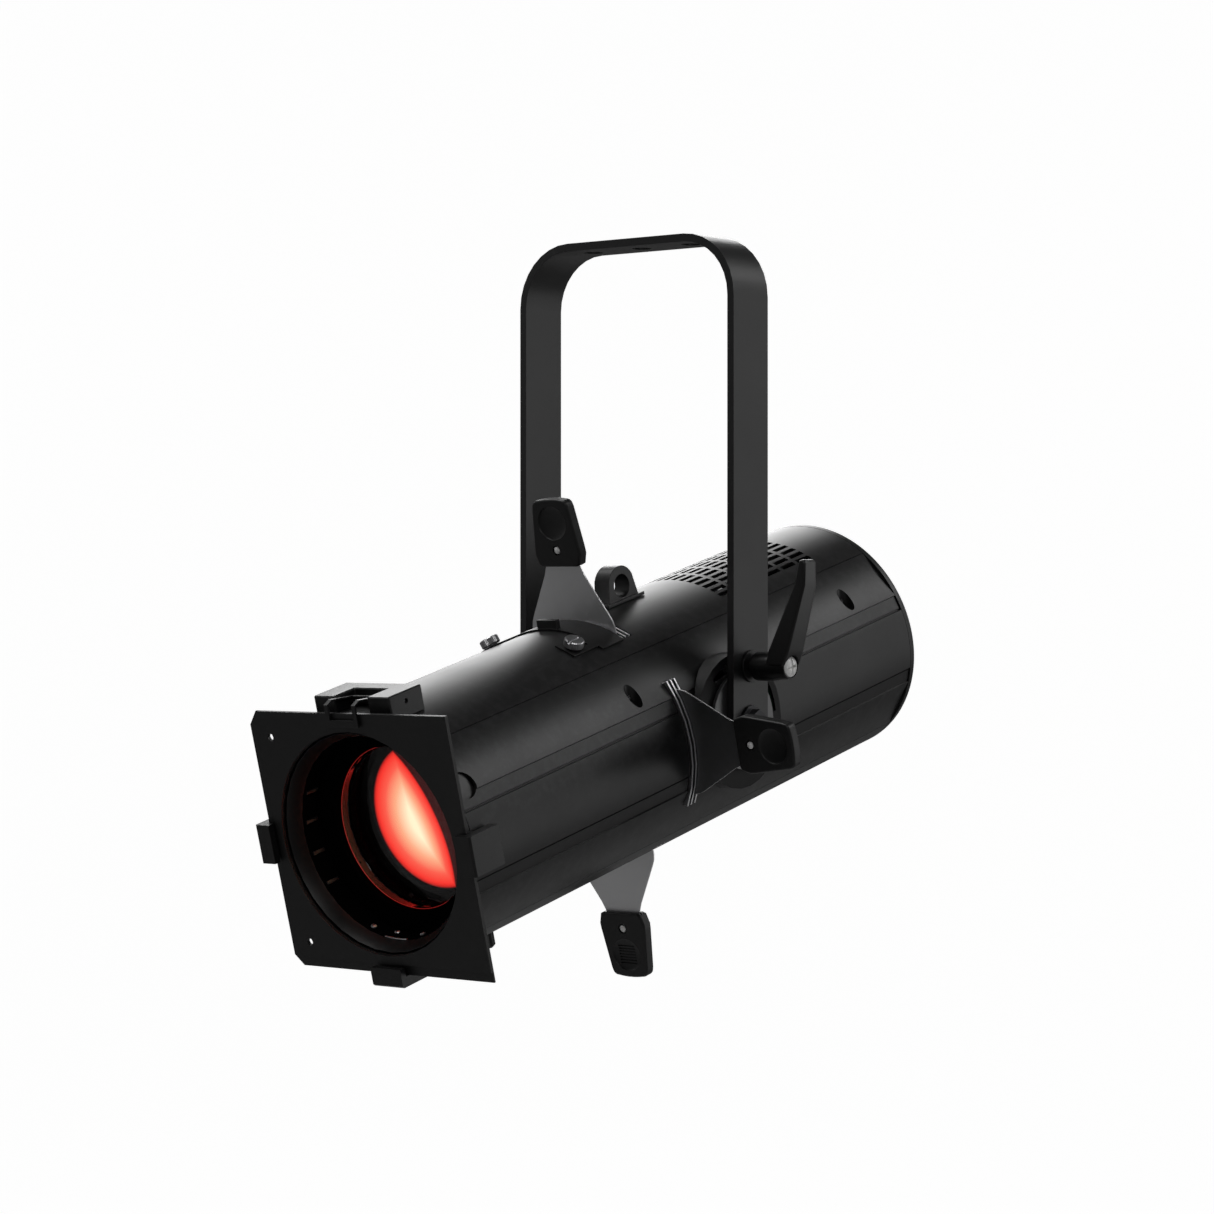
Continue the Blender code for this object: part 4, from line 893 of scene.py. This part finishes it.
def round_normals(piece, radii):
    """The cylinder's own normals for round faces, and nearly so for the upper side flats."""
    turned = BARREL.to_3x3()
    mesh = piece.data
    normals = [Vector(corner.vector) for corner in mesh.corner_normals]
    for polygon in mesh.polygons:
        middle = INTO_BARREL @ polygon.center
        outward = (turned @ Vector((middle.x, 0, middle.z))).normalized()
        facing = outward.dot(polygon.normal)
        from_pole = math.degrees(math.atan2(abs(middle.x), abs(middle.z)))
        crowned = ROUNDED_FLATS[0] < from_pole < ROUNDED_FLATS[1] and abs(facing) > 0.96
        for loop in polygon.loop_indices:
            local = INTO_BARREL @ mesh.vertices[mesh.loops[loop].vertex_index].co
            across = Vector((local.x, 0, local.z))
            off_round = min(abs(across.length - radius) for radius in radii)
            if crowned or (off_round < ROUND_TOLERANCE and abs(facing) > 0.985):
                normals[loop] = (turned @ across).normalized() * math.copysign(1, facing)
    mesh.normals_split_custom_set(normals)


COVERS = {"top_cover": regrid_vent, "bottom_cover": None, "side_panel_right": rework_wells(1),
          "side_panel_left": rework_wells(-1)}
for node, change in COVERS.items():
    cover = softened(node, SATIN_PAINT, 0.00022, 1, smooth=14, edge_angle=16, change=change)
    round_normals(cover, (BARREL_RADIUS, BARREL_RADIUS - COVER_THICKNESS))
print("covers:", len(COVERS))

# %% [markdown]
# ## Gate plates, blades, sockets and buttons
# Gate plates and blades are cut from sheet, so their faces are dull and their sheared edges bright; the
# edges' bright metal is also a painted highlight along them. That could be a mask in one material. Two
# materials are simpler here, because the edges are the faces that look across the barrel.

# %% Gate plates, blades, sockets and buttons
def on_edge(polygon):
    return abs(polygon.normal.dot(FORWARD)) < 0.9


for plate in ("gate_plate_rear", "gate_plate_middle", "gate_plate_front"):
    second_finish(softened(plate, GATE_STEEL, 0.0001, 1), SHEARED_EDGE_AND_HIGHLIGHT, on_edge)
for side in SHUTTER_ANGLES:
    second_finish(softened(f"shutter_blade_{side}", BLADE_STEEL[side], 0.00018, 2), SHEARED_EDGE_AND_HIGHLIGHT, on_edge)
REAR_PIECES = {"power_inlet": MOULDED_BLACK, "power_outlet": MOULDED_BLACK, "data_inlet": MOULDED_BLACK,
               "data_outlet": MOULDED_BLACK, "display_window": DISPLAY_GLASS, "menu_button": GLOSS_BLACK,
               "up_button": GLOSS_BLACK, "down_button": GLOSS_BLACK, "enter_button": GLOSS_BLACK}
for node, material in REAR_PIECES.items():
    softened(node, material, 0.0003, 2)
print("gate plates: 3, blades:", len(SHUTTER_ANGLES), "rear pieces:", len(REAR_PIECES))

# %% [markdown]
# ## Lenses and the image of the gate
# The lamp holds three plano-convex lenses: one in front, one behind it on the focus carriage, and the
# condenser. A profile spun round the axis gives their true curves. The image of the gate could be left
# to the ray tracer, with much noise. It is a thin glowing disc inside the tube instead, which rides
# with the focus carriage.

# %% Lenses and the image of the gate
LENS_STEPS = 96
LENS_CHAMFER = 0.0006
GLOW_STATION = 0.2030


def lens_cage(radius, edge, crown):
    """A plano-convex lens: a domed front, a ground edge with a small chamfer, and a flat back."""
    chamfer = LENS_CHAMFER
    dome = [(radius * t / 12, edge / 2 + crown * (1 - (t / 12) ** 2)) for t in range(12)]
    rim = [(radius - chamfer, edge / 2 + 0.0004), (radius, edge / 2 - chamfer), (radius, chamfer - edge / 2),
           (radius - chamfer, -edge / 2), (0, -edge / 2)]
    return spun(dome + rim, LENS_STEPS)


def barrel_lens(node, radius, edge, crown):
    """A lens's own zero is halfway along its edge, behind the dome."""
    place = LENGTHWISE @ Matrix.Translation((0, 0, -barrel_box(node)[1].y + edge / 2))
    stand_in(node, "glass", lens_cage(radius, edge, crown), LENS_GLASS, 30, place)


barrel_lens("front_lens", 0.0504, 0.0070, 0.0070)
barrel_lens("rear_lens", 0.0464, 0.0070, 0.0060)
barrel_lens("condenser_lens", 0.0400, 0.0050, 0.0090)

glow = spun([(0, 0.0006), (GLOW_RADIUS, 0.0), (GLOW_RADIUS, -0.0006), (0, -0.0010)], LENS_STEPS)
publish(glow, "gate_image", "focus_carriage", GATE_GLOW, 30,
        LENGTHWISE @ Matrix.Translation((0, 0, GLOW_STATION)))
print("lenses made, gate image at station", GLOW_STATION)

# %% [markdown]
# ## Rear rim
# A cast ring ends the barrel behind the covers. It could keep its CAD facets with rounded edges, but it
# draws the lamp's outline against the background, so it is spun anew with many steps.

# %% Rear rim
def make_rear_rim():
    """A rounded lip outside, and a ledge for the panel inside."""
    low, high = barrel_box("rear_cap")
    front, back = -low.y, -high.y
    lip = 0.0018
    spigot, recess, ledge, shoulder = 0.0751, 0.0725, 0.0660, -0.1923
    profile = [(spigot, front), (spigot, front - 0.0080), (spigot, shoulder), (BARREL_RADIUS, shoulder)]
    profile += arc_points(lip, 0, -90, 6, (BARREL_RADIUS - lip, back + lip))
    profile += arc_points(0.0010, -90, -180, 4, (recess + 0.0010, back + 0.0010))
    profile += [(recess, front - 0.0030), (ledge, front - 0.0030), (ledge, front)]
    stand_in("rear_cap", "rim", spun(profile, ROUND_STEPS, closed=True), SATIN_PAINT, 35, LENGTHWISE)


make_rear_rim()
print("rear rim made")

# %% [markdown]
# ## Knurled screws on the gobo cover
# Two coin screws hold the gobo cover. Their knurling could be bump in the material, but it shows on the
# outline. So every other group of points round the head is moved inwards, and the coin slot is cut
# last.

# %% Knurled screws on the gobo cover
KNURL_SHRINK = 0.955


def make_coin_screw(name):
    """A cheese head with fine knurling round it and a slot for a coin."""
    joint = JOINTS[f"{name}_turn"]
    low, high, radius = 0.0026, 0.0070, 0.0062
    neck, foot = 0.0021, -0.0045
    profile = [(0, high), (radius - 0.0007, high), (radius, high - 0.0006), (radius, low),
               (radius - 0.0006, low - 0.0006), (neck, low - 0.0006), (neck, foot), (0, foot)]
    cage = spun(profile, 72)
    for vert in cage.verts:
        across = Vector((vert.co.x, vert.co.y))
        turn = math.degrees(math.atan2(vert.co.y, vert.co.x)) % 10
        if abs(across.length - radius) < 1e-5 and 2.5 < turn < 7.5:
            vert.co.x *= KNURL_SHRINK
            vert.co.y *= KNURL_SHRINK
    slot = solid(box_cage((-0.008, -0.0007, high - 0.0016), (0.008, 0.0007, high + 0.002)))
    cage = carved(cage, [slot])
    turn = Matrix.Rotation(math.radians(35), 4, "Z")
    stand_in(name, "knurled", cage, ZINC_PLATE, 25, seat_on_axis(joint["pos_m"], joint["axis"]) @ turn)


for screw_name in ("thumbscrew_right", "thumbscrew_left"):
    make_coin_screw(screw_name)
print("coin screws made")

# %% [markdown]
# ## Fluted lens knobs
# Two knobs under the barrel slide the lenses. Each is moulded with eight soft flutes for the fingers.
# They could be cut with eight rods, but a cosine wave on the outer points gives flutes that fade out at
# the top.

# %% Fluted lens knobs
FLUTES = 8
FLUTE_DEPTH = 0.085


def make_lens_knob(name):
    joint = JOINTS[f"{name}_turn"]
    top, bottom, radius = 0.0062, -0.0050, 0.0100
    profile = [(0.0034, top), (radius - 0.0016, top), (radius, top - 0.0012), (radius, bottom + 0.0012),
               (radius - 0.0012, bottom), (0, bottom), (0, bottom + 0.0032), (0.0034, bottom + 0.0032)]
    cage = spun(profile, 96, closed=True)
    for vert in cage.verts:
        across = Vector((vert.co.x, vert.co.y))
        if across.length > radius - 0.0020 and vert.co.z < top - 0.0005:
            wave = max(0.0, math.cos(FLUTES * math.atan2(vert.co.y, vert.co.x))) ** 2
            scale = 1 - FLUTE_DEPTH * wave
            vert.co.x *= scale
            vert.co.y *= scale
    stand_in(name, "fluted", cage, MOULDED_BLACK, 30, seat_on_axis(joint["pos_m"], joint["axis"]))


for knob_name in ("zoom_knob", "focus_knob"):
    make_lens_knob(knob_name)
print("lens knobs made")

# %% [markdown]
# ## Shutter grips
# A moulded grip is riveted over the end of each blade. Its outline narrows to the thumb, its edges are
# well rounded, and a shallow thumb recess sits on both faces. The lower one shows fine ribs in its
# recess. The recess is cut with a flattened ball, so that its rim fades out on the way to the blade.

# %% Shutter grips and rivets
GRIP_HALF = 0.0037
GRIP_SIDE = ((0.0138, 0.1130), (0.0162, 0.1140), (0.0182, 0.1205), (0.0180, 0.1240), (0.0146, 0.1500))
GRIP_CROWN = arc_points(0.0042, 8, 76, 6, (0.0100, 0.1510)) + arc_points(0.0600, 81, 90, 4, (0, 0.0960))[:-1]
RIVET_RADIUS_AT = 0.1235


def prism(loop, low, high):
    """An outline in X and Y pulled along Z."""
    cage = bmesh.new()
    face = cage.faces.new([cage.verts.new((x, y, low)) for x, y in loop])
    pulled = bmesh.ops.extrude_face_region(cage, geom=[face])["geom"]
    bmesh.ops.translate(cage, verts=[item for item in pulled if isinstance(item, bmesh.types.BMVert)],
                        vec=(0, 0, high - low))
    bmesh.ops.recalc_face_normals(cage, faces=cage.faces)
    return cage


def mirrored_loop(points):
    return points + [(-x, y) for x, y in reversed(points)]


def grip_cutters(ribbed):
    """Hidden solids for the blade's pocket, the rivet's seat and the two thumb recesses."""
    cutters = [solid(prism(mirrored_loop([(0.0150, 0.1100), (0.0129, 0.1279)]), -0.0008, 0.0008))]
    seat = spun([(0, -0.01), (0.0031, -0.01), (0.0031, 0.01), (0, 0.01)], 32)
    bmesh.ops.translate(seat, verts=seat.verts, vec=(0, RIVET_RADIUS_AT, 0))
    cutters.append(solid(seat))
    for face in (-1, 1):
        dish = bmesh.new()
        bmesh.ops.create_uvsphere(dish, u_segments=40, v_segments=20, radius=1.0)
        bmesh.ops.scale(dish, verts=dish.verts, vec=(0.0112, 0.0108, 0.0017))
        bmesh.ops.translate(dish, verts=dish.verts, vec=(0, 0.1408, face * GRIP_HALF))
        cutters.append(solid(dish))
        for rib in range(7 if ribbed else 0):
            along = 0.1348 + rib * 0.0019
            cutters.append(solid(box_cage((-0.0066, along, face * GRIP_HALF - 0.0021),
                                          (0.0066, along + 0.0008, face * GRIP_HALF + 0.0021))))
    return cutters


def blade_seat(side):
    """Z points forward along the barrel, and Y points out of it along the blade."""
    low, high = barrel_box(f"shutter_grip_{side}")
    return shutter_axes(SHUTTER_ANGLES[side]) @ Matrix.Translation((0, 0, -(low.y + high.y) / 2))


def make_grip(side):
    cage = prism(mirrored_loop(list(GRIP_SIDE) + GRIP_CROWN), -GRIP_HALF, GRIP_HALF)
    rims = [edge for edge in cage.edges if abs(edge.verts[0].co.z - edge.verts[1].co.z) < 1e-6]
    bmesh.ops.bevel(cage, geom=rims, offset=0.0013, segments=4, profile=0.5, affect="EDGES", material=-1)
    cage = carved(cage, grip_cutters(side == "bottom"))
    even_shading(stand_in(f"shutter_grip_{side}", "moulded", cage, MOULDED_BLACK, 32, blade_seat(side)))
    dome = arc_points(0.0032, 52, 90, 5, (0, GRIP_HALF - 0.0030))
    shank, edge, crown = 0.0022, dome[0][1], dome[-1][1]
    rivet = spun([(0, -crown), (shank, -edge), (shank, edge), *dome[1:-1], (0, crown)], 36)
    publish(rivet, f"shutter_rivet_{side}", f"shutter_{side}", BRIGHT_ZINC, 30,
            blade_seat(side) @ Matrix.Translation((0, RIVET_RADIUS_AT, 0)))


for side in SHUTTER_ANGLES:
    make_grip(side)
print("grips and rivets made")

# %% [markdown]
# ## Clamp lever
# The lever is one moulding on a steel stud: a sleeve, a ball-shaped hub, and a flat handle that leans
# away from the yoke. Its cross-head screw is the brightest thing on the whole lamp.

# %% Clamp lever and its screw
CLAMP_PLACE = Vector(JOINTS["clamp_lever_turn"]["pos_m"])
CLAMP_SEAT = Matrix.Translation((0, CLAMP_PLACE.y, CLAMP_PLACE.z)) @ Matrix.Rotation(math.radians(90), 4, "Y")
LEVER_SCREW_AT = 0.1163


def make_lever():
    """A spun hub and sleeve joined to a flat handle, with a round recess for the screw."""
    hub = [(0, 0.1185), (0.0074, 0.1185), (0.0078, 0.1181), (0.0080, 0.1120), (0.0088, 0.1060),
           (0.0090, 0.1020), (0.0090, 0.0942), (0.0087, 0.0930), (0.0078, 0.0926), (0.0053, 0.0926),
           (0.0053, 0.0896), (0.0034, 0.0896), (0.0034, 0.1030), (0, 0.1030)]
    cage = spun(hub, 64)
    outline = [(0.1045, 0.0), (0.1185, 0.0), (0.1225, 0.0100), (0.1335, 0.0500), (0.1335, 0.0600)]
    outline += arc_points(0.0026, 0, 150, 8, (0.1309, 0.0632)) + [(0.1255, 0.0510), (0.1065, 0.0090)]
    handle = prism(outline, -1.0, 1.0)
    for vert in handle.verts:
        vert.co.z *= 0.0088 - 0.0024 * min(1.0, max(0.0, vert.co.y / 0.060))
    soften_edges(handle, 0.0016, 4, 40)
    upright = CLAMP_SEAT.inverted() @ Matrix.Translation((0, CLAMP_PLACE.y, CLAMP_PLACE.z))
    bmesh.ops.transform(handle, verts=handle.verts, matrix=upright @ QUARTER_X)
    floor, wall, mouth = LEVER_SCREW_AT - 0.0003, 0.0071, 0.14
    recess = solid(spun([(0, floor), (wall, floor), (wall, mouth), (0, mouth)], 48))
    cage = carved(cage, [recess], [solid(handle)])
    even_shading(stand_in("clamp_lever", "moulded", cage, GLOSS_BLACK, 32, CLAMP_SEAT))


def cross_slot(reach, half_width, floor, top):
    """Two crossing bars, the shape of a cross-head driver's tip."""
    return [solid(box_cage((-reach, -half_width, floor), (reach, half_width, top))),
            solid(box_cage((-half_width, -reach, floor), (half_width, reach, top)))]


def make_lever_screw():
    dome = [(0.0067, 0.1176), (0.0063, 0.1184), (0.0052, 0.1190), (0.0038, 0.1195), (0.0020, 0.1198),
            (0, 0.1199)]
    cage = carved(spun([(0, LEVER_SCREW_AT), (0.0067, LEVER_SCREW_AT)] + dome, 64),
                  cross_slot(0.0050, 0.0009, 0.1172, 0.1230))
    stand_in("lever_screw", "cross", cage, BRIGHT_ZINC, 26,
             CLAMP_SEAT @ Matrix.Rotation(math.radians(8), 4, "Z"))


make_lever()
make_lever_screw()
softened("ellipsoidal_reflector", POLISHED, 0, smooth=60)
print("lever, screw and reflector made")

# %% [markdown]
# ## Screws sunk in the barrel
# The upper wells in the side panels hold the screws that tie the covers to the inner frame, and the
# rear panel has four of its own. One pan-head screw with a cross slot is modelled and set down in each
# place.

# %% Cover and panel screws
def pan_screw(name, radius, material, place):
    """A pan head whose face is at zero and whose neck goes down."""
    head = [(0, -0.0024), (radius * 0.5, -0.0024), (radius * 0.5, -0.0017), (radius, -0.0017),
            (radius, -0.0007), (radius * 0.84, -0.0002), (radius * 0.5, 0.0), (0, 0.00005)]
    cage = carved(spun(head, 32), cross_slot(radius * 0.62, radius * 0.12, -0.0011, 0.002))
    publish(cage, name, "barrel", material, 28, place)


for station in WELL_STATIONS:
    for side in (1, -1):
        where = f"{'front' if station > 0 else 'rear'}_{'right' if side > 0 else 'left'}"
        seat = seat_on_barrel(side * WELL_ANGLE, 0.0726, station)
        pan_screw(f"cover_screw_{where}", 0.0033, DARK_STEEL, seat)

panel_back = -barrel_box("rear_panel")[1].y
for index, angle in enumerate((45, 135, 225, 315)):
    spot = round_barrel(angle, 0.0680, panel_back - 0.0004)
    pan_screw(f"panel_screw_{index}", 0.0026, DARK_STEEL,
              BARREL @ Matrix.Translation(spot) @ TURN_TO_Y)
print("screws:", 2 * len(WELL_STATIONS) + 4)

# %% [markdown]
# ## Inside the front holder
# The front lens is held by a thin ring, and a second thin ring sits on the lip of the holder. Both give off a
# painted red reflection of the gate's light.
# Three small screws and a spring leaf sit at the bottom of the holder, and a few ribs stiffen its wall.

# %% Rings, leaf, ribs and small screws
def thin_ring(name, radius, station, body, depth):
    """A ring of small square section round the barrel's axis, which gives off a painted red reflection."""
    inner, end = radius - depth, station + depth
    profile = [(inner, station), (radius, station), (radius, end), (inner, end)]
    publish(spun(profile, 128, closed=True), name, body, RIM_PAINTED_REFLECTION, 30, LENGTHWISE)


lens_back = -barrel_box("front_lens")[1].y
thin_ring("front_lens_ring", 0.0503, lens_back + 0.0072, "zoom_carriage", 0.0003)
thin_ring("holder_lip_ring", 0.0650, 0.2514, "barrel", 0.0008)


def arc_bar(name, middle, half, radius, low, high, thick, material):
    """A curved bar on the inside of a wall: its angles are from the barrel's top, in degrees."""
    cage = bmesh.new()
    rings = []
    for index in range(13):
        turn = math.radians(middle - half + 2 * half * index / 12)
        ring = [cage.verts.new((math.sin(turn) * r, math.cos(turn) * r, s))
                for r, s in ((radius, low), (radius, high), (radius - thick, high), (radius - thick, low))]
        rings.append(ring)
    for first, second in zip(rings, rings[1:]):
        for corner in range(4):
            cage.faces.new((first[corner], first[(corner + 1) % 4], second[(corner + 1) % 4], second[corner]))
    cage.faces.new(rings[0])
    cage.faces.new(rings[-1][::-1])
    bmesh.ops.recalc_face_normals(cage, faces=cage.faces)
    soften_edges(cage, min(0.00025, thick * 0.3), 1, 60)
    publish(cage, name, "barrel", material, 30, LENGTHWISE)


arc_bar("holder_leaf", 183, 8, 0.0622, 0.2478, 0.2492, 0.0006, ZINC_PLATE)
for index, angle in enumerate((-66, -84, -102, -120)):
    arc_bar(f"holder_rib_{index}", angle, 1.0, 0.0624, 0.2372, 0.2470, 0.0012, CASTING_PAINT)
for index, (angle, station) in enumerate(((-157, 0.2440), (-171, 0.2400), (170, 0.2400))):
    seat = seat_on_barrel(angle, 0.0610, station) @ Matrix.Rotation(math.radians(180), 4, "X")
    pan_screw(f"holder_screw_{index}", 0.0020, ZINC_PLATE, seat)
